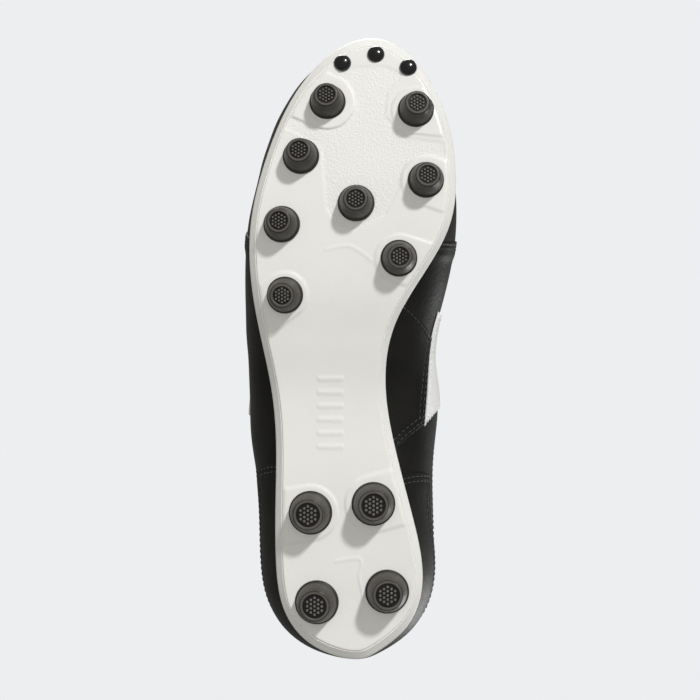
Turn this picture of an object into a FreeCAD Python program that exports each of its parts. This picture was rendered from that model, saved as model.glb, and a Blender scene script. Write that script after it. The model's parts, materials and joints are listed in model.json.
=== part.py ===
import FreeCAD, Part
import math
import os

from FreeCAD import Vector

# Right-foot leather soccer cleat on a moulded firm-ground plate. Millimetres.
# +X points to the toe, +Y to the inner (medial) side of a right foot, +Z up.
# The stud tips stand on Z = 0.

# Lasting axis to the middle of the footprint's box, where the origin is.
ORIGIN = (0.67, 0.93)

# ---- plate -------------------------------------------------------------
PLATE_THICK = 3.5
RIM_HEIGHT = 8.5          # rim's top above the plate's underside
RIM_WALL = 2.5
RIM_FILLET = 2.6          # rounding of the plate's lower edge

# ---- studs -------------------------------------------------------------
FORE_STUD = {"base": 8.4, "tip": 5.2, "height": 10.4}
HEEL_STUD = {"base": 10.0, "tip": 6.5, "height": 12.7}
STUD_SEAT = 1.2           # how far the full base sinks into the plate
STUD_KEY = 0.75           # radius of the locking key as a share of the base
STUD_KEY_DEPTH = 2.3
SPLAY_DEG = 3.5           # studs lean outwards by this much at the edge
NUB_RADIUS = 4.0
NUB_HEIGHT = 2.6

FORE_STUDS = [(113.9, -10.6), (110.0, 30.0), (88.5, -22.5), (77.3, 34.6),
              (66.8, 2.8), (57.2, -31.0), (41.6, 22.3), (25.0, -29.5)]
HEEL_STUDS = [(-73.9, -18.0), (-69.8, 10.7), (-114.6, -15.1), (-109.6, 16.9)]
TOE_NUBS = [(132.5, -3.9), (136.6, 11.5), (130.2, 26.4)]

# Top outline of the plate's rim, from the back of the heel along the outer
# (lateral) side to the toe and back along the inner side.
OUTLINE = [(-141.0, 0.5), (-134.3, -18.0), (-118.0, -30.5), (-96.0, -34.0),
           (-70.0, -34.2), (-44.0, -34.0), (-18.0, -36.2), (8.0, -41.3),
           (33.0, -45.3), (58.0, -45.4), (82.0, -40.5), (104.0, -33.0),
           (123.5, -22.5), (139.0, -7.5), (145.0, 9.5), (139.0, 24.5),
           (124.0, 36.6), (103.0, 45.2), (79.0, 48.2), (56.0, 45.0),
           (34.0, 33.0), (10.0, 20.0), (-18.0, 16.4), (-48.0, 21.3),
           (-78.0, 29.0), (-104.0, 33.0), (-125.0, 26.6), (-137.5, 12.6)]

# Height of the plate's underside along the shoe: heel, arch, ball, toe spring.
UNDERSIDE = [(-150, 12.9), (-100, 12.5), (-62, 12.7), (-20, 14.6), (5, 12.2),
             (25, 10.2), (42, 10.3), (57, 11.2), (77, 13.6), (95, 16.8),
             (113, 20.3), (130, 24.2), (150, 29.6)]

# Topline of the upper: collar, eyestay corner, throat and back, one point for
# each point of OUTLINE.
TOPLINE = [(-134, 0, 91), (-129, -16, 89), (-117, -27, 82.5),
           (-101, -33, 75), (-82, -36, 70.5), (-61, -36.5, 73),
           (-42, -32, 87), (-27, -21.5, 102), (-12, -16, 100.5),
           (8, -14.5, 92), (27, -13.5, 83.5), (43, -11.5, 76.5),
           (52, -7.5, 72.8), (55.5, -2.8, 71.5), (56.2, 0.6, 71.3),
           (55.5, 4.0, 71.5), (52, 8.7, 72.8), (43, 12.7, 76.5),
           (27, 14.7, 83.5), (8, 15.7, 92), (-12, 17.2, 100.5),
           (-27, 25, 102), (-42, 31, 87), (-60, 33, 73),
           (-81, 35.5, 70.5), (-100, 33.5, 75), (-118, 25.5, 83),
           (-130, 12, 90)]

# How the upper bulges between sole and topline, at every second point of
# OUTLINE: out and up from the sole, then out and down from the topline.
BULGE = [(11, 20, 1, 25), (16, 20, 11, 27), (16, 18, 9, 24),
         (25, 17, 17, 20), (19, 25, 25, 12), (17, 27, 27, 9),
         (17, 26, 43, 8), (7, 24, 52, 10), (5, 26, 35, 8),
         (10, 27, 21, 9), (29, 20, 13, 12), (38, 14, 10, 20),
         (13, 18, 5, 24), (12, 20, 7, 27)]

# ---- layers of the upper, as depth range from the leather's outer face ---
LEATHER = (-1.4, 0.0)
OVERLAY = (0.2, 1.1)
ARCH_PIECE = (0.45, 1.35)
STIFFENER = (-2.1, -1.6)
LINING = (-2.95, -2.3)
COLLAR_FOAM = (-6.0, -1.6)
COLLAR_LINING = (-6.9, -6.2)
COLLAR_FOOT = 0.64        # height where the collar padding begins
COLLAR_TOP = 0.975
COLLAR_END = 6.1          # station where the padding ends on either side
SEAM = 0.012              # half of a seam's gap, in stations

# ---- throat, tongue and lace -------------------------------------------
EYELETS = [11.1, 10.3, 9.6, 8.97, 8.36, 7.67]   # stations, toe end first
EYELET_HEIGHT = 0.90
EYELET_RADIUS = 2.2
EYESTAY_FOOT = 0.78
SADDLE = (5.5, 7.9)         # stations of the white band's edges low down
SADDLE_LEAN = 2.8            # stations that it leans forward per height
SADDLE_FOOT = {-1: 0.47, 1: 0.27}
LACE_WIDE = (5.0, 1.2)    # width and thickness where it crosses the tongue
LACE_FLAT = (3.2, 1.1)
LACE_ROUND = (2.1, 1.8)   # bunched in an eyelet
LACE_RISE = 2.0           # lace's centre above the leather
LACE_SINK = 4.1           # and under it, between lining and tongue
AGLET = {"radius": 0.9, "length": 12.0}
TONGUE_MIDDLE = 0.6       # Y of the tongue's centre line
TONGUE_ARCH_R = 27.0      # radius of its arched cross-section
TONGUE_HALF_WIDTH = (27.0, 31.0)
TONGUE_PATH = [(74.0, 56.5), (60.0, 62.2), (44.0, 71.8), (26.0, 81.2),
               (8.0, 90.0), (-12.0, 98.2), (-31.0, 106.6), (-42.5, 117.0),
               (-50.0, 131.0)]
TONGUE_FOLD = 6.15        # place of the fold along TONGUE_PATH
FOLD_GAP = 0.1
TONGUE_COVER = (-1.0, 0.0)
TONGUE_FOAM = (-4.2, -1.1)
TONGUE_LINING = (-5.0, -4.3)

# ---- inside the shoe, as heights above the plate's top --------------------
BOARD = (0.1, 1.9)
WEDGE_RISE = 4.2          # extra height of the heel's foam wedge
WEDGE_TOE_END = -12.0
SOCK_FOAM = 3.6
SOCK_COVER = 0.7
SHANK = {"x": (-78.0, 22.0), "y": -6.0, "width": 15.0, "thick": 1.2}


# ======================= curves and surfaces ==============================
def periodic(keys):
    """Smooth closed curve through the keys, as a function of 0..1."""
    n, m = len(keys), len(keys[0])
    ctrl = [list(k) for k in keys]
    for _ in range(40):
        nxt = []
        for i in range(n):
            a, b, c = ctrl[i - 1], ctrl[i], ctrl[(i + 1) % n]
            nxt.append([b[k] + keys[i][k] - (a[k] + 4 * b[k] + c[k]) / 6.0
                        for k in range(m)])
        ctrl = nxt

    def at(u):
        t = (u % 1.0) * n
        i = int(t)
        f = t - i
        w = ((1 - f) ** 3 / 6.0, (3 * f ** 3 - 6 * f * f + 4) / 6.0,
             (-3 * f ** 3 + 3 * f * f + 3 * f + 1) / 6.0, f ** 3 / 6.0)
        pts = [ctrl[(i - 1 + j) % n] for j in range(4)]
        return [sum(w[j] * pts[j][k] for j in range(4)) for k in range(m)]

    return at


def profile(pairs):
    """Smooth height along X through the pairs."""
    xs, ys = [p[0] for p in pairs], [p[1] for p in pairs]
    n = len(xs)
    step = [(ys[i + 1] - ys[i]) / (xs[i + 1] - xs[i]) for i in range(n - 1)]
    slope = [step[0]] + [(step[i - 1] + step[i]) / 2 for i in range(1, n - 1)]
    slope.append(step[-1])

    def at(x):
        i = 0
        while i < n - 2 and x > xs[i + 1]:
            i += 1
        h = xs[i + 1] - xs[i]
        t = (x - xs[i]) / h
        return ((2 * t ** 3 - 3 * t * t + 1) * ys[i]
                + (t ** 3 - 2 * t * t + t) * h * slope[i]
                + (3 * t * t - 2 * t ** 3) * ys[i + 1]
                + (t ** 3 - t * t) * h * slope[i + 1])

    return at


outline = periodic(OUTLINE)
topline = periodic(TOPLINE)
bulge = periodic(BULGE)
underside = profile(UNDERSIDE)
KEYS = float(len(OUTLINE))


def plate_top(x):
    return underside(x) + PLATE_THICK


def outward(u):
    """Unit normal of the outline, pointing out of the shoe."""
    a, b = outline(u - 1e-4), outline(u + 1e-4)
    dx, dy = b[0] - a[0], b[1] - a[1]
    length = math.hypot(dx, dy)
    return dy / length, -dx / length


def edge_point(u, inset):
    p, n = outline(u), outward(u)
    return p[0] + n[0] * -inset, p[1] + n[1] * -inset


def upper(u, v):
    """The leather's outer face: v is 0 at the sole and 1 at the topline."""
    n = outward(u)
    out1, up1, out2, down2 = bulge(u)
    x, y = edge_point(u, RIM_WALL + 0.2)
    p0 = Vector(x, y, plate_top(x) + 0.15)
    p3 = Vector(*topline(u))
    p1 = p0 + Vector(n[0] * out1, n[1] * out1, up1)
    p2 = p3 + Vector(n[0] * out2, n[1] * out2, -down2)
    w = 1 - v
    return (p0 * w ** 3 + p1 * (3 * v * w * w) + p2 * (3 * v * v * w)
            + p3 * v ** 3)


def upper_normal(u, v):
    e = 1e-3
    du = upper(u + e, v) - upper(u - e, v)
    dv = upper(u, v + e) - upper(u, v - e)
    n = du.cross(dv)
    return n.normalize()


def skin(u, v, depth):
    return upper(u, v) + upper_normal(u, v) * depth


# ======================= solids ============================================
def solid_between(outer, inner):
    """Solid between two surfaces interpolated on matching grids."""
    faces, surfaces = [], []
    for grid in (outer, inner):
        s = Part.BSplineSurface()
        s.interpolate(grid)
        surfaces.append(s)
        faces.append(s.toShape())
    a, b = surfaces
    ua, ub, va, vb = a.bounds()
    uc, ud, vc, vd = b.bounds()
    for ca, cb in ((a.uIso(ua), b.uIso(uc)), (a.uIso(ub), b.uIso(ud)),
                   (a.vIso(va), b.vIso(vc)), (a.vIso(vb), b.vIso(vd))):
        faces.append(Part.makeRuledSurface(ca.toShape(), cb.toShape()))
    shell = Part.makeShell(faces)
    shell.sewShape()
    body = Part.makeSolid(shell)
    if body.Volume < 0:
        body.reverse()
    return body


def spaced(a, b, n):
    return [a + (b - a) * i / (n - 1.0) for i in range(n)]


def reading(value, at):
    return value(at) if callable(value) else value


def panel(k0, k1, v0, v1, depth, rows=13):
    """Piece of the upper between two stations (counted in outline points)
    and two heights. A station may be a function of the share of the height,
    and a height may be a function of the station."""
    middle = (reading(k0, 0.5), reading(k1, 0.5))
    count = max(8, int((middle[1] - middle[0]) * 3.2) + 1)
    grids = []
    for d in (depth[1], depth[0]):
        grid = []
        for a in spaced(0.0, 1.0, count):
            line = []
            for b in spaced(0.0, 1.0, rows):
                k = reading(k0, b) * (1 - a) + reading(k1, b) * a
                v = reading(v0, k) * (1 - b) + reading(v1, k) * b
                line.append(skin(k / KEYS, v, d))
            grid.append(line)
        grids.append(grid)
    return solid_between(*grids)


def closed_wire(points):
    c = Part.BSplineCurve()
    c.interpolate(Points=points, PeriodicFlag=True)
    return Part.Wire([c.toShape()])


def prism(inset):
    count = 84
    pts = [Vector(*edge_point(i / float(count), inset), -20)
           for i in range(count)]
    return Part.Face(closed_wire(pts)).extrude(Vector(0, 0, 160))


def slab(low, high, x0=-152, x1=152):
    """Everything between two heights above the plate's underside curve.
    A height may be a function of X."""
    xs = spaced(x0, x1, 60)
    edges = []
    for lift in (low, high):
        c = Part.BSplineCurve()
        c.interpolate([Vector(x, -80, underside(x) + reading(lift, x))
                       for x in xs])
        edges.append(c)
    a, b = edges
    ends = [Part.LineSegment(a.StartPoint, b.StartPoint).toShape(),
            Part.LineSegment(a.EndPoint, b.EndPoint).toShape()]
    wire = Part.Wire([a.toShape(), ends[1], b.toShape(), ends[0]])
    return Part.Face(wire).extrude(Vector(0, 160, 0))


def inner_point(u, lift):
    """Point just inside the lining at a height above the plate's top."""
    low, high = -0.1, 0.6
    for _ in range(30):
        v = (low + high) / 2
        p = skin(u, v, LINING[0] - 0.25)
        if p.z - plate_top(p.x) < lift:
            low = v
        else:
            high = v
    return Vector(p.x, p.y, -20)


def bed(low, high, wall_lift):
    """Layer that fills the shoe's floor from wall to wall."""
    count = 84
    pts = [inner_point(i / float(count), wall_lift) for i in range(count)]
    column = Part.Face(closed_wire(pts)).extrude(Vector(0, 0, 160))
    return column.common(slab(low, high))


def wedge_top(x):
    t = min(1.0, max(0.0, (WEDGE_TOE_END - x) / 70.0))
    return PLATE_THICK + BOARD[1] + WEDGE_RISE * t * t * (3 - 2 * t)


def box(x0, x1, y0, y1, z0, z1):
    return Part.makeBox(x1 - x0, y1 - y0, z1 - z0, Vector(x0, y0, z0))


# ======================= sole unit =========================================
def stud(x, y, size):
    """Truncated cone standing on the plate, keyed into it."""
    z = underside(x)
    h, base, tip = size["height"], size["base"], size["tip"]
    key = base * STUD_KEY
    pts = [(0, STUD_KEY_DEPTH), (key, STUD_KEY_DEPTH), (key, STUD_SEAT),
           (base, STUD_SEAT), (base, -0.6), (base - 0.6, -1.4),
           (tip + 0.5, -h + 0.5), (tip, -h), (0, -h)]
    vectors = [Vector(r, 0, t) for r, t in pts]
    face = Part.Face(Part.makePolygon(vectors + vectors[:1]))
    body = face.revolve(Vector(0, 0, 0), Vector(0, 0, 1), 360)
    slope = math.degrees(math.atan((underside(x + 2) - underside(x - 2)) / 4))
    body.rotate(Vector(0, 0, 0), Vector(0, 1, 0), -slope)
    body.rotate(Vector(0, 0, 0), Vector(1, 0, 0), SPLAY_DEG * y / 30.0)
    body.translate(Vector(x, y, z))
    return body.common(box(-200, 200, -100, 100, 0, 60))


def nub(x, y):
    radius = (NUB_RADIUS ** 2 + NUB_HEIGHT ** 2) / (2 * NUB_HEIGHT)
    ball = Part.makeSphere(radius)
    ball.translate(Vector(0, 0, radius - NUB_HEIGHT))
    cap = ball.common(box(-9, 9, -9, 9, -9, 0))
    peg = Part.makeCylinder(NUB_RADIUS - 1, 1.8)
    foot = Part.makeCylinder(NUB_RADIUS, 1.0)
    body = cap.fuse([foot, peg]).removeSplitter()
    slope = math.degrees(math.atan((underside(x + 2) - underside(x - 2)) / 4))
    body.rotate(Vector(0, 0, 0), Vector(0, 1, 0), -slope)
    body.translate(Vector(x, y, underside(x)))
    return body


def plate(fitted):
    dish = prism(0).common(slab(0, RIM_HEIGHT))
    low = []
    for e in dish.Edges:
        p = e.valueAt((e.FirstParameter + e.LastParameter) / 2)
        if abs(underside(p.x) - p.z) < 0.05:
            low.append(e)
    dish = dish.makeFillet(RIM_FILLET, low)
    hollow = prism(RIM_WALL).common(slab(PLATE_THICK, PLATE_THICK + 40))
    body = dish.cut(hollow)
    room = (-5.0, ARCH_PIECE[1] + 0.2)
    for k in range(0, 28, 4):
        body = body.cut(panel(k - 0.05, k + 4.05, -0.02, 0.45, room))
    body = max(body.Solids, key=lambda s: s.Volume)
    return body.cut(Part.makeCompound(fitted + [shank(0.1)]))


def shank(gap=0.0):
    """Flat stiffening strip let into the plate's top at the waist."""
    x0, x1 = SHANK["x"]
    half = SHANK["width"] / 2 + gap
    strip = box(x0 - gap, x1 + gap, SHANK["y"] - half, SHANK["y"] + half,
                0, 60)
    upright = [e for e in strip.Edges
               if abs(e.Vertexes[0].Z - e.Vertexes[-1].Z) > 1]
    strip = strip.makeFillet(half - 0.5, upright)
    low = PLATE_THICK - SHANK["thick"] - gap
    return strip.common(slab(low, PLATE_THICK - 0.02 + gap * 2))


def heel_wedge():
    low = PLATE_THICK + BOARD[1] + 0.1
    body = bed(low, lambda x: max(low + 0.5, wedge_top(x)), BOARD[1] + 0.2)
    return body.common(box(-160, WEDGE_TOE_END - 14, -80, 80, -10, 80))


def sock(low, high):
    """Removable-looking footbed layer that follows board and wedge."""
    def under(x):
        return wedge_top(x) + 0.15 + low

    def over(x):
        return wedge_top(x) + 0.15 + high

    return bed(under, over, BOARD[1] + 0.8)


# ======================= upper =============================================
def front_seam(b):
    """Station of the seam between vamp and outer quarter."""
    return 8.4 + 3.2 * b ** 1.3


def mirrored(station):
    return lambda b: KEYS - station(b)


def upper_leather():
    def ahead(b):
        return front_seam(b) + SEAM

    def behind(b):
        return front_seam(b) - SEAM

    return {
        "vamp": panel(ahead, mirrored(ahead), 0, 1, LEATHER, 16),
        "quarter_lateral": panel(SEAM, behind, 0, 1, LEATHER, 16),
        "quarter_medial": panel(mirrored(behind), KEYS - SEAM, 0, 1, LEATHER,
                                16),
    }


def foxing_top(k):
    near = abs(k) / 4.7
    return 0.50 - 0.14 * near ** 2


def saddle(side):
    """White band that leans forward from the middle of the side up to the
    eyestay; side is -1 or 1."""
    foot = SADDLE_FOOT[side]

    def leaned(station):
        def at(b):
            v = foot + (EYESTAY_FOOT - foot) * b
            return station + SADDLE_LEAN * (v - SADDLE_FOOT[1])
        return at

    rear, front = (leaned(k) for k in SADDLE)
    if side > 0:
        rear, front = mirrored(front), mirrored(rear)
    return panel(rear, front, foot, EYESTAY_FOOT - 0.01, OVERLAY)


def arch_piece():
    """Low reinforcement over the inner side's arch, narrower at its top."""
    def front(b):
        return 20.55 + 0.10 * b

    def rear(b):
        return 22.95 - 0.42 * b

    return panel(front, rear, 0.01, 0.255, ARCH_PIECE)


def overlays():
    def tip(b):
        return 11.9 + 0.9 * b

    return {
        "eyestay_lateral": panel(7.15, tip, EYESTAY_FOOT, 0.995, OVERLAY),
        "eyestay_medial": panel(mirrored(tip), KEYS - 7.15, EYESTAY_FOOT,
                                0.995, OVERLAY),
        "saddle_panel_lateral": saddle(-1),
        "saddle_panel_medial": saddle(1),
        "arch_panel_medial": arch_piece(),
        "heel_foxing": panel(-4.7, 4.7, 0.01, foxing_top, OVERLAY),
        "heel_patch": panel(-1.15, 1.15, 0.55, 0.99, OVERLAY),
    }


def inner_layers():
    end = COLLAR_END
    top = 0.99

    def ahead(b):
        return front_seam(b) + SEAM

    def behind(b):
        return front_seam(b) - SEAM

    return {
        "toe_puff": panel(11.6, KEYS - 11.6, 0.0, 0.45, STIFFENER),
        "heel_counter": panel(-4.5, 4.5, 0.0, 0.60, STIFFENER),
        "vamp_lining": panel(ahead, mirrored(ahead), 0, top, LINING, 16),
        "quarter_lining_lateral": panel(end + 0.05, behind, 0, top, LINING,
                                        16),
        "quarter_lining_medial": panel(mirrored(behind), KEYS - end - 0.05,
                                       0, top, LINING, 16),
        "heel_lining": panel(-end, end, 0, COLLAR_FOOT - 0.02, LINING),
        "collar_padding": panel(-end, end, COLLAR_FOOT, COLLAR_TOP,
                                COLLAR_FOAM),
        "collar_lining": panel(-end, end, COLLAR_FOOT, COLLAR_TOP,
                               COLLAR_LINING),
    }


# ======================= throat ============================================
def eyelet(side, i, depth=0.0):
    """Point in the axis of one eyelet, and the leather's normal there."""
    k = EYELETS[i] if side < 0 else KEYS - EYELETS[i]
    n = upper_normal(k / KEYS, EYELET_HEIGHT)
    return upper(k / KEYS, EYELET_HEIGHT) + n * depth, n


def punches(side):
    tools = []
    for i in range(len(EYELETS)):
        p, n = eyelet(side, i, -8)
        tools.append(Part.makeCylinder(EYELET_RADIUS, 16, p, n))
    return Part.makeCompound(tools)


def through(keys, s):
    """Smooth path through the keys; s counts keys from 0."""
    n = len(keys)
    i = min(n - 2, max(0, int(s)))
    f = s - i
    quad = [keys[min(n - 1, max(0, i + j))] for j in (-1, 0, 1, 2)]
    out = []
    for a, b, c, d in zip(*quad):
        out.append(0.5 * (2 * b + (c - a) * f
                          + (2 * a - 5 * b + 4 * c - d) * f * f
                          + (3 * b - a - 3 * c + d) * f ** 3))
    return out


def tongue_line(s):
    """Place and direction along the tongue's crown, in X and Z."""
    p = through(TONGUE_PATH, s)
    a, b = through(TONGUE_PATH, s - 0.01), through(TONGUE_PATH, s + 0.01)
    dx, dz = b[0] - a[0], b[1] - a[1]
    length = math.hypot(dx, dz)
    return p, (dx / length, dz / length)


def tongue_point(s, arc, depth):
    p, t = tongue_line(s)
    r = TONGUE_ARCH_R
    angle = arc / r
    rise = (r + depth) * math.cos(angle) - r
    return Vector(p[0] + t[1] * rise, TONGUE_MIDDLE + (r + depth)
                  * math.sin(angle), p[1] - t[0] * rise)


def tongue_half_width(s):
    share = s / (len(TONGUE_PATH) - 1.0)
    a, b = TONGUE_HALF_WIDTH
    tip = max(0.0, s - 7.2)
    return a + (b - a) * share - 9.0 * tip ** 2


def tongue_part(s0, s1, depth, trim=0.0):
    rows = max(6, int((s1 - s0) * 3))
    grids = []
    for d in (depth[1], depth[0]):
        grids.append([[tongue_point(s, a * (tongue_half_width(s) - trim), d)
                       for a in spaced(-1, 1, 13)]
                      for s in spaced(s0 + trim / 20, s1 - trim / 20, rows)])
    return solid_between(*grids)


def tongue():
    end = len(TONGUE_PATH) - 1.0
    parts = {}
    for name, s0, s1 in (("tongue", 0.0, TONGUE_FOLD - FOLD_GAP),
                         ("tongue_flap", TONGUE_FOLD + FOLD_GAP, end)):
        parts[name] = tongue_part(s0, s1, TONGUE_COVER)
        parts[name + "_padding"] = tongue_part(s0, s1, TONGUE_FOAM, 1.0)
        parts[name + "_lining"] = tongue_part(s0, s1, TONGUE_LINING)
    return parts


def lace_end(i, share):
    """Point of a lace's tucked end, under the outer eyestay."""
    return skin(EYELETS[i] / KEYS, EYELET_HEIGHT - share, -LACE_SINK)


def lace_keys():
    """Serpentine from pair to pair: over the tongue, down through the
    eyelet, along under the eyestay and up through the next one. Each key
    has the place, the direction of the width, the width and thickness."""
    keys = []
    along = Vector(1, 0, -0.45)
    last = len(EYELETS) - 1

    def add(point, wide, size):
        keys.append(tuple(point) + tuple(wide.normalize()) + size)

    def hole(side, i, other, going_down):
        """Keys of one pass through an eyelet; other is where the hidden
        run beyond it leads."""
        p, n = eyelet(side, i)
        k = EYELETS[i] if side < 0 else KEYS - EYELETS[i]
        lip = skin(k / KEYS, 0.985, LACE_RISE)
        run = (other - p).normalize()
        across = n.cross(run) if n.cross(run).y > 0 else run.cross(n)
        twist = along if abs(run.x) < 0.5 else across
        stops = [(p - n * LACE_SINK + run * 2.2, twist * 1.0, LACE_FLAT),
                 (p - n * (LACE_SINK - 1.8), twist + along, LACE_ROUND),
                 (p - n * 0.3, along * 1.0, LACE_ROUND),
                 (p + n * LACE_RISE + (lip - p).normalize() * 1.6,
                  along * 1.0, LACE_ROUND),
                 (lip, along * 1.0, LACE_FLAT)]
        if going_down:
            stops.reverse()
        for stop in stops:
            add(*stop)

    def next_hole(side, i, step):
        if 0 <= i + step <= last:
            return eyelet(side, i + step)[0]
        return lace_end(i, 0.16)

    add(lace_end(0, 0.16), along * 1.0, LACE_FLAT)
    add(lace_end(0, 0.08), along * 1.0, LACE_FLAT)
    side = -1
    for i in range(last + 1):
        hole(side, i, next_hole(side, i, -1), False)
        near = Vector(*keys[-1][:3])
        k = EYELETS[i] if side > 0 else KEYS - EYELETS[i]
        far = skin(k / KEYS, 0.985, LACE_RISE)
        add((near + far) * 0.5 + Vector(0.2, 0, 0.4), along * 1.0, LACE_WIDE)
        side = -side
        hole(side, i, next_hole(side, i, 1), True)
    add(lace_end(last, 0.08), along * 1.0, LACE_FLAT)
    add(lace_end(last, 0.16), along * 1.0, LACE_FLAT)
    return keys


def lace():
    """Flat band of four-cornered sections along the serpentine."""
    keys = lace_keys()
    sections = []
    for s in spaced(0.0, len(keys) - 1.0, (len(keys) - 1) * 3 + 1):
        x, y, z, a, b, c, width, thick = through(keys, s)
        ahead = Vector(*through(keys, s + 0.02)[:3])
        back = Vector(*through(keys, s - 0.02)[:3])
        run = (ahead - back).normalize()
        wide = Vector(a, b, c)
        wide = (wide - run * wide.dot(run)).normalize()
        high = run.cross(wide)
        p = Vector(x, y, z)
        wide, high = wide * (width / 2), high * (thick / 2)
        corners = [p - wide - high, p + wide - high, p + wide + high,
                   p - wide + high]
        sections.append(Part.makePolygon(corners + corners[:1]))
    return Part.makeLoft(sections, True, True)


def aglets():
    out = []
    for i in (0, len(EYELETS) - 1):
        p, q = lace_end(i, 0.165), lace_end(i, 0.33)
        run = (q - p).normalize()
        out.append(Part.makeCylinder(AGLET["radius"], AGLET["length"],
                                     p + run * 0.3, run))
    return Part.makeCompound(out)


# ======================= writing ===========================================
def export(name, shape):
    solids = [s for s in shape.Solids if s.Volume > 0.5]
    assert solids, name
    for s in solids:
        if not s.isValid():
            print("NOT VALID", name)
    out = solids[0] if len(solids) == 1 else Part.makeCompound(solids)
    out.exportStep("parts/%s.step" % name)
    b = out.BoundBox
    print("%-24s solids %2d volume %9.1f  x %6.1f %6.1f y %6.1f %6.1f "
          "z %6.1f %6.1f" % (name, len(solids), sum(s.Volume for s in solids),
                             b.XMin, b.XMax, b.YMin, b.YMax, b.ZMin, b.ZMax))


def main():
    os.makedirs("parts", exist_ok=True)
    parts = {}
    for i, (x, y) in enumerate(FORE_STUDS):
        parts["forefoot_stud_%d" % (i + 1)] = stud(x, y, FORE_STUD)
    for i, (x, y) in enumerate(HEEL_STUDS):
        parts["heel_stud_%d" % (i + 1)] = stud(x, y, HEEL_STUD)
    for i, (x, y) in enumerate(TOE_NUBS):
        parts["toe_nub_%d" % (i + 1)] = nub(x, y)
    parts["outsole_plate"] = plate(list(parts.values()))
    parts["shank"] = shank()
    parts["insole_board"] = bed(PLATE_THICK + BOARD[0],
                                PLATE_THICK + BOARD[1], 0.15)
    parts["heel_wedge"] = heel_wedge()
    parts["sockliner_foam"] = sock(0, SOCK_FOAM)
    parts["sockliner_cover"] = sock(SOCK_FOAM + 0.1,
                                    SOCK_FOAM + 0.1 + SOCK_COVER)
    parts.update(upper_leather())
    parts.update(overlays())
    parts.update(inner_layers())
    for side, word in ((-1, "lateral"), (1, "medial")):
        for name in ("eyestay_", "quarter_", "quarter_lining_"):
            parts[name + word] = parts[name + word].cut(punches(side))
    tools = Part.makeCompound([punches(-1), punches(1)])
    for name in ("vamp", "vamp_lining"):
        parts[name] = parts[name].cut(tools)
    parts.update(tongue())
    parts["lace"] = lace()
    parts["lace_aglets"] = aglets()
    for name, shape in parts.items():
        shape.translate(Vector(-ORIGIN[0], -ORIGIN[1], 0))
        export(name, shape)


main()
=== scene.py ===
import json
import math

import bpy
import numpy as np
from mathutils import Matrix, Vector

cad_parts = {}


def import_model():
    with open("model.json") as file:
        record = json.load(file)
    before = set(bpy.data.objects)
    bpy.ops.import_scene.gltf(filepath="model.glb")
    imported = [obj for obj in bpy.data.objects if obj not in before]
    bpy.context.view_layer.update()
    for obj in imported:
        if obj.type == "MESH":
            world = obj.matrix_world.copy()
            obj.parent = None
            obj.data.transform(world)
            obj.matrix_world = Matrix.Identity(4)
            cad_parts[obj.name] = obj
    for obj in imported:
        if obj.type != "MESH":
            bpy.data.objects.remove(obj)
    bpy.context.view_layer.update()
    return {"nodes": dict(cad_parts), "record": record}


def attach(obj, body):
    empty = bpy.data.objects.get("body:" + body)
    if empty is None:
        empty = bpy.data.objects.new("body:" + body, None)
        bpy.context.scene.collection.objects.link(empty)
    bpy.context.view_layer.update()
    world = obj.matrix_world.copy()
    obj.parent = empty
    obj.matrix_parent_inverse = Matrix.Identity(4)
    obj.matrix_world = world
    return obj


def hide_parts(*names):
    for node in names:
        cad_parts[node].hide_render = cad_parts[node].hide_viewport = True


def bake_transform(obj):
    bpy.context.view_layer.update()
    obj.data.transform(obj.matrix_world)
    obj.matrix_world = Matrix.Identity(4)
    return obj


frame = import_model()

# A right-foot leather soccer cleat, sole side to the camera. The shape's
# sizes are in millimetres and on the lasting axis; build() moves them to the
# frame's origin and to metres.
MM = 0.001
ORIGIN = np.array([0.67, 0.93, 0.0])

# ---- shape shared with the frame ------------------------------------------
PLATE_THICK = 3.5
RIM_HEIGHT = 8.5
RIM_INSET = 2.7
FORE_STUD = {"base": 8.4, "tip": 5.2, "height": 10.4, "pip": 1.55}
HEEL_STUD = {"base": 10.0, "tip": 6.5, "height": 12.7, "pip": 1.9}
SPLAY_DEG = 3.5
NUB_RADIUS = 4.0
NUB_HEIGHT = 2.6
FORE_STUDS = [(113.9, -10.6), (110.0, 30.0), (88.5, -22.5), (77.3, 34.6),
              (66.8, 2.8), (57.2, -31.0), (41.6, 22.3), (25.0, -29.5)]
HEEL_STUDS = [(-73.9, -18.0), (-69.8, 10.7), (-114.6, -15.1), (-109.6, 16.9)]
TOE_NUBS = [(132.5, -3.9), (136.6, 11.5), (130.2, 26.4)]
OUTLINE = [(-141.0, 0.5), (-134.3, -18.0), (-118.0, -30.5), (-96.0, -34.0),
           (-70.0, -34.2), (-44.0, -34.0), (-18.0, -36.2), (8.0, -41.3),
           (33.0, -45.3), (58.0, -45.4), (82.0, -40.5), (104.0, -33.0),
           (123.5, -22.5), (139.0, -7.5), (145.0, 9.5), (139.0, 24.5),
           (124.0, 36.6), (103.0, 45.2), (79.0, 48.2), (56.0, 45.0),
           (34.0, 33.0), (10.0, 20.0), (-18.0, 16.4), (-48.0, 21.3),
           (-78.0, 29.0), (-104.0, 33.0), (-125.0, 26.6), (-137.5, 12.6)]
UNDERSIDE = [(-150, 12.9), (-100, 12.5), (-62, 12.7), (-20, 14.6), (5, 12.2),
             (25, 10.2), (42, 10.3), (57, 11.2), (77, 13.6), (95, 16.8),
             (113, 20.3), (130, 24.2), (150, 29.6)]
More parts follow.
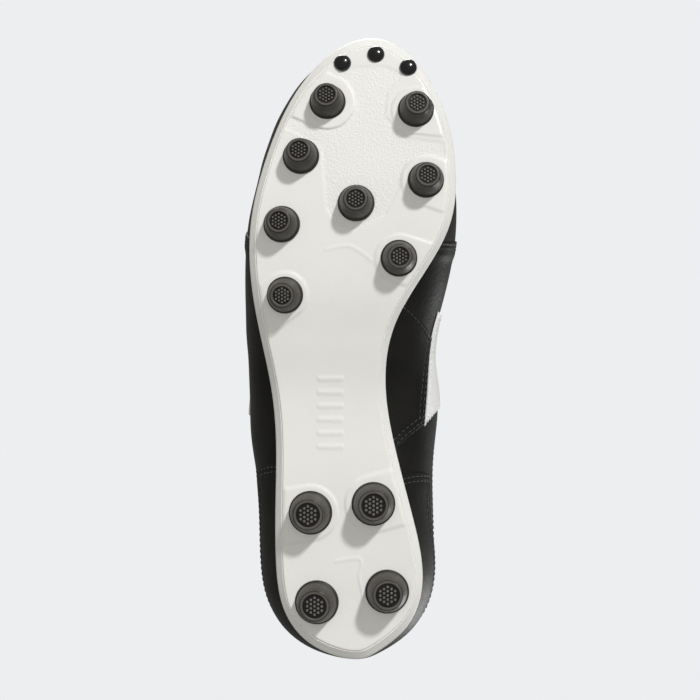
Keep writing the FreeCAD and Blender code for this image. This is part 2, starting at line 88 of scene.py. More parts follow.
TOPLINE = [(-134, 0, 91), (-129, -16, 89), (-117, -27, 82.5),
           (-101, -33, 75), (-82, -36, 70.5), (-61, -36.5, 73),
           (-42, -32, 87), (-27, -21.5, 102), (-12, -16, 100.5),
           (8, -14.5, 92), (27, -13.5, 83.5), (43, -11.5, 76.5),
           (52, -7.5, 72.8), (55.5, -2.8, 71.5), (56.2, 0.6, 71.3),
           (55.5, 4.0, 71.5), (52, 8.7, 72.8), (43, 12.7, 76.5),
           (27, 14.7, 83.5), (8, 15.7, 92), (-12, 17.2, 100.5),
           (-27, 25, 102), (-42, 31, 87), (-60, 33, 73),
           (-81, 35.5, 70.5), (-100, 33.5, 75), (-118, 25.5, 83),
           (-130, 12, 90)]
BULGE = [(11, 20, 1, 25), (16, 20, 11, 27), (16, 18, 9, 24),
         (25, 17, 17, 20), (19, 25, 25, 12), (17, 27, 27, 9),
         (17, 26, 43, 8), (7, 24, 52, 10), (5, 26, 35, 8),
         (10, 27, 21, 9), (29, 20, 13, 12), (38, 14, 10, 20),
         (13, 18, 5, 24), (12, 20, 7, 27)]
KEYS = len(OUTLINE)
EYELETS = [11.1, 10.3, 9.6, 8.97, 8.36, 7.67]
EYELET_HEIGHT = 0.90
EYELET_RADIUS = 2.2
EYESTAY_FOOT = 0.78
SADDLE = (5.5, 7.9)
SADDLE_LEAN = 2.8
SADDLE_FOOT = {"lateral": 0.47, "medial": 0.27}
COLLAR_END = 6.1
LACE_WIDE = (5.0, 1.2)    # width and thickness where it crosses the tongue
LACE_FLAT = (3.2, 1.1)
LACE_ROUND = (2.1, 1.8)   # bunched in an eyelet
LACE_RISE = 2.0
LACE_SINK = 4.1
TONGUE_MIDDLE = 0.6
TONGUE_ARCH_R = 27.0
TONGUE_HALF_WIDTH = (27.0, 31.0)
TONGUE_PATH = [(74.0, 56.5), (60.0, 62.2), (44.0, 71.8), (26.0, 81.2),
               (8.0, 90.0), (-12.0, 98.2), (-31.0, 106.6), (-42.5, 117.0),
               (-50.0, 131.0)]

# ---- relief of the sole, in plan -------------------------------------------
# Profile of the sole's edge: inset from the rim, and height above the sole.
BAND = [(0, 3.5), (0.1, 3.28), (0.3, 2.95), (0.8, 2.50), (1.4, 1.95),
        (2.0, 1.40), (2.5, 0.93), (2.8, 0.62), (2.95, 0.52), (3.08, 0.62),
        (3.26, 0.64), (3.4, 0.30), (3.5, 0.08), (3.7, 0), (4.3, 0),
        (5.2, 0)]
BAND_END = 3.7
STUD_PADS = [((113.9, -10.6), (122.0, -30.0), 12.6),
             ((110.0, 30.0), (108.0, 48.0), 11.2),
             ((77.3, 34.6), (71.0, 52.0), 11.4),
             ((41.6, 22.3), (36.0, 40.0), 11.0),
             ((25.0, -29.5), (12.0, -46.0), 10.6),
             ((-73.9, -18.0), (-77.0, -38.0), 12.6),
             ((-69.8, 10.7), (-64.0, 32.0), 13.0)]
STIPPLED = [(54.5, 3), (57.5, -7), (65, -10.7), (80, -12.2), (92, -13),
            (99, -24), (104, -35), (112, -26), (119, -8), (128, -9),
            (131, 4), (131, 16), (127, 24), (118, 17), (107, 16), (97, 27),
            (94, 48), (90, 48), (86, 26), (75, 23), (61, 16)]
RIDGES = [[(45.5, -11.0), (47.3, -1.0), (44.3, 5.3), (40.6, 10.0)],
          [(-96.0, -6.5), (-95.0, 4.6), (-103.0, 4.2), (-113.0, 5.8),
           (-122.0, 3.6)]]
WAIST_RIBS = {"first": -13.0, "pitch": 6.2, "count": 6, "y": -9.0,
              "half_length": 5.0}


# ============================ curves and surfaces ===========================
class Loop:
    """Smooth closed curve through its keys, read at 0 to 1."""

    def __init__(self, keys):
        keys = np.array(keys, float)
        n = len(keys)
        mix = (4 * np.eye(n) + np.roll(np.eye(n), 1, 0)
               + np.roll(np.eye(n), -1, 0)) / 6
        self.control = np.linalg.solve(mix, keys)

    def __call__(self, u):
        n = len(self.control)
        t = (np.asarray(u, float) % 1.0) * n
        i = np.floor(t).astype(int)
        f = (t - i)[..., None]
        weights = ((1 - f) ** 3 / 6, (3 * f ** 3 - 6 * f ** 2 + 4) / 6,
                   (-3 * f ** 3 + 3 * f ** 2 + 3 * f + 1) / 6, f ** 3 / 6)
        return sum(w * self.control[(i - 1 + j) % n]
                   for j, w in enumerate(weights))


def height_curve(pairs):
    """Smooth height along X through the pairs."""
    xs, ys = np.array(pairs, float).T
    step = np.diff(ys) / np.diff(xs)
    slope = np.concatenate([step[:1], (step[1:] + step[:-1]) / 2, step[-1:]])

    def at(x):
        x = np.asarray(x, float)
        i = np.clip(np.searchsorted(xs, x, side="left") - 1, 0, len(xs) - 2)
        h = xs[i + 1] - xs[i]
        t = (x - xs[i]) / h
        return ((2 * t ** 3 - 3 * t ** 2 + 1) * ys[i]
                + (t ** 3 - 2 * t ** 2 + t) * h * slope[i]
                + (3 * t ** 2 - 2 * t ** 3) * ys[i + 1]
                + (t ** 3 - t ** 2) * h * slope[i + 1])

    return at


def through(keys, s):
    """Smooth open curve through the keys; s counts keys from 0."""
    keys = np.array(keys, float)
    s = np.asarray(s, float)
    n = len(keys)
    i = np.clip(s.astype(int), 0, n - 2)
    f = (s - i)[..., None]
    a, b, c, d = (keys[np.clip(i + j, 0, n - 1)] for j in (-1, 0, 1, 2))
    return 0.5 * (2 * b + (c - a) * f + (2 * a - 5 * b + 4 * c - d) * f ** 2
                  + (3 * b - a - 3 * c + d) * f ** 3)


def unit(v):
    return v / np.linalg.norm(v, axis=-1, keepdims=True)


def smooth(low, high, x):
    """0 below low, 1 above high, smooth between."""
    t = np.clip((np.asarray(x, float) - low) / (high - low), 0, 1)
    return t * t * (3 - 2 * t)


outline = Loop(OUTLINE)
topline = Loop(TOPLINE)
bulge = Loop(BULGE)
underside = height_curve(UNDERSIDE)


def plate_top(x):
    return underside(x) + PLATE_THICK


def outward(u):
    d = outline(u + 1e-4) - outline(u - 1e-4)
    return unit(np.stack([d[..., 1], -d[..., 0]], -1))


def upper(k, v):
    """Outer face of the leather at station k, 0 at the sole, 1 on top."""
    k, v = np.broadcast_arrays(np.asarray(k, float), np.asarray(v, float))
    u = k / KEYS
    n = outward(u)
    out1, up1, out2, down2 = np.moveaxis(bulge(u), -1, 0)
    foot = outline(u) - n * RIM_INSET
    z = plate_top(foot[..., 0]) + 0.15
    p0 = np.concatenate([foot, z[..., None]], -1)
    p3 = topline(u)
    p1 = p0 + np.stack([n[..., 0] * out1, n[..., 1] * out1, up1], -1)
    p2 = p3 + np.stack([n[..., 0] * out2, n[..., 1] * out2, -down2], -1)
    t = v[..., None]
    w = 1 - t
    return (p0 * w ** 3 + p1 * (3 * t * w * w) + p2 * (3 * t * t * w)
            + p3 * t ** 3)


def slopes(k, v):
    """How the surface moves with station and with height."""
    e = 1e-3
    along = (upper(np.asarray(k) + e * KEYS, v)
             - upper(np.asarray(k) - e * KEYS, v)) / (2 * e * KEYS)
    up = (upper(k, np.asarray(v) + e) - upper(k, np.asarray(v) - e)) / (2 * e)
    return along, up


def upper_normal(k, v):
    along, up = slopes(k, v)
    return unit(np.cross(along, up))


def skin(k, v, depth):
    depth = np.asarray(depth, float)
    return upper(k, v) + upper_normal(k, v) * depth[..., None]


# ============================ meshes ========================================
def build(name, points, faces, material, body="boot", sharp=None):
    mesh = bpy.data.meshes.new(name)
    places = (np.asarray(points).reshape(-1, 3) - ORIGIN) * MM
    mesh.from_pydata(places.tolist(), [], [tuple(f) for f in faces])
    mesh.validate()
    mesh.shade_smooth()
    if sharp:
        mesh.set_sharp_from_angle(angle=math.radians(sharp))
    obj = bpy.data.objects.new(name, mesh)
    bpy.context.scene.collection.objects.link(obj)
    mesh.materials.append(material)
    if body:
        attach(obj, body)
    return obj


def grid_faces(rows, cols, start=0, flip=False, close=False):
    """Quads over a rows by cols grid; close joins the last column to the
    first."""
    r = np.arange(rows - 1)[:, None]
    c = np.arange(cols if close else cols - 1)[None, :]
    d = (c + 1) % cols
    a, b = r * cols + c, (r + 1) * cols + c
    e, f = (r + 1) * cols + d, r * cols + d
    order = (a, f, e, b) if flip else (a, b, e, f)
    quads = np.stack([np.broadcast_to(q, (rows - 1, c.shape[1]))
                      for q in order], -1)
    return (quads.reshape(-1, 4) + start).tolist()


def shell(outer, inner):
    """Closed skin round two matching grids of points."""
    rows, cols = outer.shape[:2]
    n = rows * cols
    faces = grid_faces(rows, cols) + grid_faces(rows, cols, n, flip=True)
    ring = ([(0, c) for c in range(cols)]
            + [(r, cols - 1) for r in range(1, rows)]
            + [(rows - 1, c) for c in range(cols - 2, -1, -1)]
            + [(r, 0) for r in range(rows - 2, 0, -1)])
    ids = [r * cols + c for r, c in ring]
    for i, a in enumerate(ids):
        b = ids[(i + 1) % len(ids)]
        faces.append((a, b, b + n, a + n))
    return np.concatenate([outer.reshape(-1, 3), inner.reshape(-1, 3)]), faces


def revolve(profile, turns=64):
    """Points and quads of a profile of (radius, height) turned about Z."""
    angles = np.linspace(0, 2 * math.pi, turns, endpoint=False)
    r, z = np.array(profile, float).T
    points = np.stack([r[:, None] * np.cos(angles),
                       r[:, None] * np.sin(angles),
                       np.broadcast_to(z[:, None], (len(r), turns))], -1)
    return points, grid_faces(len(r), turns, close=True)


# ============================ materials =====================================
def material(name, colour, rough, **sockets):
    mat = bpy.data.materials.new(name)
    mat.use_nodes = True
    shader = mat.node_tree.nodes["Principled BSDF"]
    shader.inputs["Base Color"].default_value = (*colour, 1)
    shader.inputs["Roughness"].default_value = rough
    for key, value in sockets.items():
        shader.inputs[key.replace("_", " ")].default_value = value
    return mat


class Nodes:
    """Short hand for wiring one material's nodes."""

    def __init__(self, mat):
        self.tree = mat.node_tree
        self.shader = self.tree.nodes["Principled BSDF"]
        self.place = self.tree.nodes.new("ShaderNodeTexCoord")

    def add(self, kind, inputs=None, **settings):
        node = self.tree.nodes.new("ShaderNode" + kind)
        for key, value in settings.items():
            setattr(node, key, value)
        for key, value in (inputs or {}).items():
            if isinstance(value, bpy.types.NodeSocket):
                self.tree.links.new(value, node.inputs[key])
            else:
                node.inputs[key].default_value = value
        return node

    def link(self, socket, name):
        self.tree.links.new(socket, self.shader.inputs[name])

    def noise(self, per_mm, detail=3.0, vector=None, rough=0.5):
        return self.add("TexNoise", {
            "Vector": vector or self.place.outputs["Object"],
            "Scale": per_mm / MM, "Detail": detail, "Roughness": rough,
        }).outputs["Fac"]

    def cells(self, per_mm, feature="F1", vector=None):
        node = self.add("TexVoronoi", {
            "Vector": vector or self.place.outputs["Object"],
            "Scale": per_mm / MM}, feature=feature)
        return node.outputs["Distance"]

    def ramp(self, value, stops):
        node = self.add("ValToRGB", {"Fac": value})
        elements = node.color_ramp.elements
        while len(elements) < len(stops):
            elements.new(0.5)
        for element, (position, colour) in zip(elements, stops):
            element.position = position
            element.color = colour
        return node.outputs["Color"]

    def span(self, value, low, high, from_low=0.0, from_high=1.0):
        return self.add("MapRange", {
            "Value": value, "From Min": from_low, "From Max": from_high,
            "To Min": low, "To Max": high}).outputs["Result"]

    def math(self, kind, a, b):
        return self.add("Math", {0: a, 1: b}, operation=kind).outputs[0]

    def bump(self, height, depth_mm, after=None):
        inputs = {"Height": height, "Strength": 1.0,
                  "Distance": depth_mm * MM}
        if after is not None:
            inputs["Normal"] = after
        return self.add("Bump", inputs).outputs["Normal"]


def grained_leather(name, dark, light, rough, shine, grain=0.07):
    """Full-grain leather: pebbled cells, fine pores and a soft mottle."""
    mat = material(name, dark, rough, Specular_IOR_Level=shine)
    n = Nodes(mat)
    mottle = n.noise(0.05, 4)
    n.link(n.ramp(mottle, [(0.3, (*dark, 1)), (0.75, (*light, 1))]),
           "Base Color")
    n.link(n.span(n.noise(0.5, 2), rough - 0.05, rough + 0.09), "Roughness")
    pebbles = n.bump(n.cells(0.95, "SMOOTH_F1"), grain)
    folds = n.bump(n.noise(0.16, 5, rough=0.6), grain * 2.2, pebbles)
    n.link(n.bump(n.noise(2.4, 2), grain * 0.35, folds), "Normal")
    return mat


def black_leather():
    return grained_leather("black_leather", (0.0055, 0.0054, 0.0052),
                           (0.0115, 0.0110, 0.0105), 0.43, 0.2)


def white_leather():
    return grained_leather("white_leather", (0.80, 0.80, 0.79),
                           (0.86, 0.86, 0.85), 0.42, 0.4, 0.05)


def moulded_white():
    """Satin white plastic; a mask painted on the mesh stipples it."""
    mat = material("moulded_white_plastic", (0.80, 0.79, 0.755), 0.34,
                   Specular_IOR_Level=0.45, Subsurface_Weight=0.06,
                   Subsurface_Scale=0.004)
    n = Nodes(mat)
    tint = n.noise(0.03, 3)
    n.link(n.ramp(tint, [(0.3, (0.80, 0.79, 0.755, 1)),
                         (0.7, (0.825, 0.818, 0.79, 1))]), "Base Color")
    mask = n.add("Attribute", attribute_name="stipple").outputs["Fac"]
    n.link(n.span(mask, 0.33, 0.52), "Roughness")
    grains = n.math("MULTIPLY", n.cells(1.15), mask)
    stipple = n.bump(grains, 0.16)
    n.link(n.bump(n.noise(0.25, 3), 0.05, stipple), "Normal")
    return mat


def stud_plastic():
    """Charcoal moulded plastic with a faint mould texture, and painted shade in
    the tip's cup with painted highlights on the pips and the tip rim.
    """
    mat = material("stud_plastic", (0.036, 0.030, 0.025), 0.45,
                   Specular_IOR_Level=0.36)
    n = Nodes(mat)
    # The point attribute read here paints shade in the tip's cup and at the
    # pips' feet (dark stop) and highlights on the tip rim and the pips' tops
    # (light stop); 0.5 is the plain plastic.
    painted_light = n.add("Attribute", attribute_name="painted_light").outputs["Fac"]
    mottle = n.span(n.noise(0.12, 4), -0.06, 0.06, 0.3, 0.75)
    n.link(n.ramp(n.math("ADD", painted_light, mottle),
                  [(0.0, (0.008, 0.007, 0.007, 1)),
                   (0.5, (0.034, 0.029, 0.024, 1)),
                   (1.0, (0.135, 0.126, 0.115, 1))]), "Base Color")
    n.link(n.span(n.noise(0.6, 3), 0.34, 0.50), "Roughness")
    n.link(n.bump(n.noise(1.8, 3), 0.03), "Normal")
    return mat


def gloss_black():
    mat = material("gloss_black_plastic", (0.008, 0.008, 0.009), 0.2,
                   Specular_IOR_Level=0.5, Coat_Weight=0.25,
                   Coat_Roughness=0.12)
    n = Nodes(mat)
    n.link(n.span(n.noise(0.4, 2), 0.17, 0.23), "Roughness")
    n.link(n.bump(n.noise(0.3, 2), 0.01), "Normal")
    return mat


def lining_cloth():
    """Fine knitted lining with a soft nap."""
    mat = material("lining_cloth", (0.012, 0.012, 0.013), 0.9,
                   Sheen_Weight=0.2, Sheen_Roughness=0.5)
    n = Nodes(mat)
    knit = n.cells(0.85)
    n.link(n.ramp(knit, [(0.15, (0.030, 0.030, 0.033, 1)),
                         (0.6, (0.009, 0.009, 0.010, 1))]), "Base Color")
    fuzz = n.bump(n.noise(2.2, 3), 0.05)
    n.link(n.bump(n.math("SUBTRACT", 1.0, knit), 0.22, fuzz), "Normal")
    return mat


def lace_braid():
    """Flat braid; its map runs along the lace and across it."""
    mat = material("lace_braid", (0.010, 0.010, 0.011), 0.8,
                   Sheen_Weight=0.3, Sheen_Roughness=0.4)
    n = Nodes(mat)
    place = n.add("Mapping", {"Vector": n.place.outputs["UV"],
                              "Scale": (1000, 1000, 1000)}).outputs[0]
    strands = []
    for turn in (0.9, -0.9):
        turned = n.add("Mapping", {"Vector": place,
                                   "Rotation": (0, 0, turn)}).outputs[0]
        strands.append(n.add("TexWave", {"Vector": turned, "Scale": 0.42,
                                         "Distortion": 0.4},
                             wave_type="BANDS",
                             bands_direction="X").outputs["Fac"])
    braid = n.math("MAXIMUM", strands[0], strands[1])
    n.link(n.ramp(braid, [(0.3, (0.006, 0.006, 0.007, 1)),
                          (0.95, (0.034, 0.034, 0.036, 1))]), "Base Color")
    fuzz = n.bump(n.noise(3.0, 3), 0.04)
    n.link(n.bump(braid, 0.20, fuzz), "Normal")
    return mat


def foam(name, colour):
    mat = material(name, colour, 0.9)
    n = Nodes(mat)
    light = tuple(min(1, c * 1.35) for c in colour)
    n.link(n.ramp(n.cells(0.7), [(0.1, (*colour, 1)), (0.7, (*light, 1))]),
           "Base Color")
    n.link(n.bump(n.cells(0.7), 0.25), "Normal")
    return mat


def fibre_board():
    mat = material("fibre_board", (0.45, 0.36, 0.25), 0.85)
    n = Nodes(mat)
    n.link(n.ramp(n.noise(0.35, 6), [(0.35, (0.40, 0.31, 0.21, 1)),
                                     (0.7, (0.52, 0.43, 0.31, 1))]),
           "Base Color")
    n.link(n.bump(n.noise(0.9, 4), 0.08), "Normal")
    return mat


def spring_steel():
    mat = material("spring_steel", (0.55, 0.56, 0.58), 0.35, Metallic=1.0)
    n = Nodes(mat)
    stretched = n.add("Mapping", {"Vector": n.place.outputs["Object"],
                                  "Scale": (0.05, 1, 1)}).outputs[0]
    n.link(n.span(n.noise(1.2, 4, stretched), 0.28, 0.5), "Roughness")
    n.link(n.bump(n.noise(1.2, 4, stretched), 0.01), "Normal")
    return mat


def thread(name, colour):
    """Twisted sewing thread."""
    mat = material(name, colour, 0.6, Sheen_Weight=0.3)
    n = Nodes(mat)
    bright = tuple(min(1, c * 2.2 + 0.01) for c in colour)
    n.link(n.ramp(n.noise(2.5, 3), [(0.3, (*colour, 1)),
                                    (0.8, (*bright, 1))]), "Base Color")
    n.link(n.bump(n.noise(4.0, 2), 0.05), "Normal")
    return mat


M = {
    "black": black_leather(),
    "white": white_leather(),
    "plate": moulded_white(),
    "stud": stud_plastic(),
    "gloss": gloss_black(),
    "lining": lining_cloth(),
    "lace": lace_braid(),
    "foam": foam("foam", (0.22, 0.22, 0.23)),
    "board": fibre_board(),
    "steel": spring_steel(),
    "thread": thread("black_thread", (0.013, 0.013, 0.014)),
    "white_thread": thread("white_thread", (0.62, 0.62, 0.60)),
}


# ============================ camera, light and stage ========================
CAMERA_REACH = 0.792      # metres from the sole's underside
CAMERA_ROLL_DEG = 2.0     # leaned to the outer side of the shoe
LENS = 89.7


def camera():
    """Straight below the shoe, toe up in the picture."""
    aim = Vector((-0.0006, -0.0009, 0.012))
    lean = Matrix.Rotation(math.radians(CAMERA_ROLL_DEG), 3, "X")
    back = lean @ Vector((0, 0, -1))
    up = Vector((1, 0, 0))
    right = up.cross(back)
    cam = bpy.data.objects.new("camera", bpy.data.cameras.new("camera"))
    cam.data.lens = LENS
    cam.data.sensor_width = 36.0
    turn = Matrix((right, up, back)).transposed()
    cam.matrix_world = (Matrix.Translation(aim + back * CAMERA_REACH)
                        @ turn.to_4x4())
    cam.data.clip_start = 0.01
    bpy.context.scene.collection.objects.link(cam)
    bpy.context.scene.camera = cam


def lamp(name, kind, power, direction, size, glare=False):
    """A light that shines from a direction onto the shoe: a sun, whose size
    is an angle, or a round soft box, whose size is in metres. Only a light
    with glare shows in glossy surfaces."""
    data = bpy.data.lights.new(name, kind)
    data.energy = power
    if kind == "AREA":
        data.shape = "DISK"
        data.size = size
    else:
        data.angle = math.radians(size)
    obj = bpy.data.objects.new(name, data)
    way = Vector(direction).normalized()
    obj.location = Vector((0, 0, 0.05)) + way * LAMP_DISTANCE
    obj.rotation_euler = way.to_track_quat("Z", "Y").to_euler()
    obj.visible_glossy = glare
    bpy.context.scene.collection.objects.link(obj)


def world(backdrop, ambient):
    """Even backdrop for the camera, softer ambient light for the shoe."""
    w = bpy.data.worlds.new("studio")
    bpy.context.scene.world = w
    w.use_nodes = True
    tree = w.node_tree
    seen = tree.nodes["Background"]
    seen.inputs["Color"].default_value = (*backdrop, 1)
    light = tree.nodes.new("ShaderNodeBackground")
    light.inputs["Color"].default_value = (1, 0.985, 0.93, 1)
    light.inputs["Strength"].default_value = ambient
    path = tree.nodes.new("ShaderNodeLightPath")
    mix = tree.nodes.new("ShaderNodeMixShader")
    tree.links.new(path.outputs["Is Camera Ray"], mix.inputs[0])
    tree.links.new(light.outputs[0], mix.inputs[1])
    tree.links.new(seen.outputs[0], mix.inputs[2])
    tree.links.new(mix.outputs[0], tree.nodes["World Output"].inputs[0])


def studio_paper(backdrop):
    """Pale matt paper: it takes soft shadows near the shoe, melts into the
    backdrop further out, and is clear when seen from behind."""
    mat = material("studio_paper", (0.42, 0.42, 0.42), 0.95,
                   Specular_IOR_Level=0.05)
    n = Nodes(mat)
    n.shader.inputs["Emission Color"].default_value = (*backdrop, 1)
    n.shader.inputs["Emission Strength"].default_value = 0.52
    spot = n.add("VectorMath", {0: n.place.outputs["Object"]},
                 operation="LENGTH").outputs["Value"]
    fade = n.add("MapRange", {"Value": spot, "From Min": 0.28,
                              "From Max": 0.75}, interpolation_type="SMOOTHSTEP")
    side = n.add("NewGeometry").outputs["Backfacing"]
    clear = n.add("BsdfTransparent")
    hidden = n.math("MAXIMUM", fade.outputs["Result"], side)
    mix = n.add("MixShader", {0: hidden, 1: n.shader.outputs[0],
                              2: clear.outputs[0]})
    out = n.tree.nodes["Material Output"]
    n.tree.links.new(mix.outputs[0], out.inputs["Surface"])
    return mat


def floor(backdrop):
    """The ground under the studs, seen from above only."""
    mesh = bpy.data.meshes.new("floor")
    r = 0.8
    mesh.from_pydata([(-r, -r, 0), (r, -r, 0), (r, r, 0), (-r, r, 0)], [],
                     [(0, 1, 2, 3)])
    obj = bpy.data.objects.new("floor", mesh)
    mesh.materials.append(studio_paper(backdrop))
    bpy.context.scene.collection.objects.link(obj)
    obj.location.z = -0.0002
    for ray in ("diffuse", "glossy", "transmission", "shadow",
                "volume_scatter"):
        setattr(obj, "visible_" + ray, False)


BACKDROP = (0.847, 0.855, 0.871)
camera()
bpy.context.scene.view_settings.view_transform = "Standard"
world(BACKDROP, 0.25)
floor(BACKDROP)
LAMP_DISTANCE = 1.6
lamp("key", "SUN", 2.25, (0.725, 0.43, -0.66), 6, glare=True)
lamp("sole_fill", "SUN", 0.80, (0.10, -0.05, -1.0), 50)
lamp("front_soft", "AREA", 15.0, (1.0, -0.1, 0.75), 0.8, glare=True)
lamp("side_soft", "AREA", 8.0, (0.1, -0.8, 0.9), 0.9)
lamp("back_soft", "AREA", 10.0, (-0.7, 0.9, 0.9), 0.9, glare=True)


# ============================ sole ==========================================
def distance_to_line(x, y, line):
    """Distance in plan to a polyline."""
    best = np.full(x.shape, 1e9)
    for (ax, ay), (bx, by) in zip(line, line[1:]):
        dx, dy = bx - ax, by - ay
        t = ((x - ax) * dx + (y - ay) * dy) / (dx * dx + dy * dy)
        t = np.clip(t, 0, 1)
        best = np.minimum(best, np.hypot(x - ax - t * dx, y - ay - t * dy))
    return best


def inside(x, y, corners):
    odd = np.zeros(x.shape, bool)
    for (ax, ay), (bx, by) in zip(corners, corners[1:] + corners[:1]):
        if ay != by:
            crosses = ((ay > y) != (by > y)) & (
                x < (bx - ax) * (y - ay) / (by - ay) + ax)
            odd ^= crosses
    return odd


def field(x, y, corners):
    """Signed distance to a closed shape in plan, positive inside."""
    d = distance_to_line(x, y, corners + corners[:1])
    return np.where(inside(x, y, corners), d, -d)


RIDGE_LINES = [through(line, np.linspace(0, len(line) - 1.0, 30))
               for line in RIDGES]


def pad_cover(x, y):
    """1 on the raised pads round the studs, 0 between them."""
    cover = np.zeros(x.shape)
    for centre, edge, radius in STUD_PADS:
        d = distance_to_line(x, y, [centre, edge])
        cover = np.maximum(cover, 1 - smooth(radius - 0.6, radius + 0.6, d))
    return cover


def stippled(x, y):
    return smooth(-0.5, 0.5, field(x, y, STIPPLED)) * (1 - pad_cover(x, y))


def relief(x, y):
    """Height of the sole's pattern towards the ground, in mm."""
    h = 0.50 * pad_cover(x, y) - 0.36 * stippled(x, y)
    for line in RIDGE_LINES:
        h = h + 0.24 * np.exp(-(distance_to_line(x, y, line) / 0.6) ** 2)
    r = WAIST_RIBS
    for i in range(r["count"]):
        cx = r["first"] - r["pitch"] * i
        rib = [(cx, r["y"] - r["half_length"]), (cx, r["y"]
                                                 + r["half_length"])]
        h = h + 0.26 * (1 - smooth(0.6, 1.4, distance_to_line(x, y, rib)))
    return h


SPINE = height_curve([(-98, 0.5), (-50, -6), (-10, -11), (20, -8), (50, 0),
                      (80, 4), (98, 6.5)])
SPINE_REACH = 98.0
RIM_SOFTEN = 7            # edge points that the rim's height is averaged over
# The rim from its inner foot over its top and down its outer wall: share of
# its height, and distance inside the outline.
RIM_PROFILE = [(0.0, 2.9), (0.0, 2.45), (0.55, 1.5), (0.92, 0.95),
               (1.0, 0.62), (0.99, 0.3), (0.94, 0.1), (0.85, 0.0),
               (0.6, 0.0), (0.3, 0.0), (0.05, 0.0)]


def rim_height(k):
    """How high the rim stands before the leather leans over it."""
    v = np.linspace(0, 0.35, 60)
    p = skin(k[:, None], v[None, :], np.full((1, 60), 1.15))
    n = outward(k / KEYS)[:, None, :]
    away = ((p[..., :2] - outline(k / KEYS)[:, None, :]) * n).sum(-1)
    lift = p[..., 2] - underside(p[..., 0])
    over = away > -0.75
    first = np.where(over.any(1), over.argmax(1), 59)
    height = lift[np.arange(len(k)), first]
    height = np.where(over.any(1), height, RIM_HEIGHT)
    span = np.arange(-RIM_SOFTEN, RIM_SOFTEN + 1)
    around = (np.arange(len(k))[:, None] + span) % len(k)
    lowest = height[around].min(1)
    height = lowest[around].mean(1) - 0.25
    return np.clip(height, PLATE_THICK + 0.5, RIM_HEIGHT)


def plate():
    """The whole sole plate: patterned underside, rounded edge and rim."""
    count = 1000
    k = np.arange(count) * KEYS / count
    edge, n = outline(k / KEYS), outward(k / KEYS)
    xs = np.clip(edge[:, 0], -SPINE_REACH, SPINE_REACH)
    spine = np.stack([xs, SPINE(xs)], -1)
    reach = np.linalg.norm(spine - edge, axis=-1)
    near, rise = np.array(BAND).T
    wider = (1 + 0.45 * smooth(118, 140, edge[:, 0])
             + 0.30 * smooth(-118, -138, edge[:, 0]))
    rings, lifts = [], []
    for d, lift in zip(near, rise):
        rings.append(edge + (spine - edge) * (d * wider / reach)[:, None])
        lifts.append(np.full(count, lift))
    start = near[-1] * wider
    for t in np.linspace(0, 1, 65)[1:]:
        d = (start + (reach - start) * t) / reach
        rings.append(edge + (spine - edge) * d[:, None])
        lifts.append(np.zeros(count))
    flat, lift = np.stack(rings), np.stack(lifts)
    x, y = flat[..., 0], flat[..., 1]
    inset = np.linalg.norm(flat - edge, axis=-1) / wider
    z = underside(x) + lift - relief(x, y) * smooth(BAND_END, BAND_END + 0.8,
                                                    inset)
    under = np.stack([x, y, z], -1)

    high = rim_height(k)
    wall = []
    for share, inward in RIM_PROFILE:
        p = edge - n * inward
        lift = PLATE_THICK + (high - PLATE_THICK) * share
        wall.append(np.stack([p[:, 0], p[:, 1],
                              underside(p[:, 0]) + lift], -1))
    grid = np.concatenate([np.stack(wall), under])
    rows = len(grid)
    obj = build("sole_plate", grid, grid_faces(rows, count, close=True),
                M["plate"], sharp=50)
    mask = np.zeros((rows, count))
    mask[len(wall):] = stippled(x, y) * smooth(BAND_END, BAND_END + 1, inset)
    layer = obj.data.attributes.new("stipple", "FLOAT", "POINT")
    layer.data.foreach_set("value", mask.reshape(-1).astype(np.float32))
    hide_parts("outsole_plate")


def stand_on_sole(points, x, y):
    """Moves a stud from its own axis to its place, leaned as it stands."""
    slope = math.atan(float(underside(x + 2) - underside(x - 2)) / 4)
    lean = (Matrix.Rotation(math.radians(SPLAY_DEG * y / 30), 3, "X")
            @ Matrix.Rotation(-slope, 3, "Y"))
    points = np.asarray(points).reshape(-1, 3) @ np.array(lean).T
    points = points + np.array([x, y, float(underside(x))])
    points[:, 2] = np.maximum(points[:, 2], 0.0)
    return points


def hexagon_spots(pitch, radius):
    """Centres of a hexagonal pattern inside a circle."""
    spots = []
    reach = int(radius / pitch) + 2
    for i in range(-reach, reach + 1):
        for j in range(-reach, reach + 1):
            x = pitch * (i + j / 2)
            y = pitch * j * math.sqrt(3) / 2
            if math.hypot(x, y) <= radius:
                spots.append((x, y))
    return spots


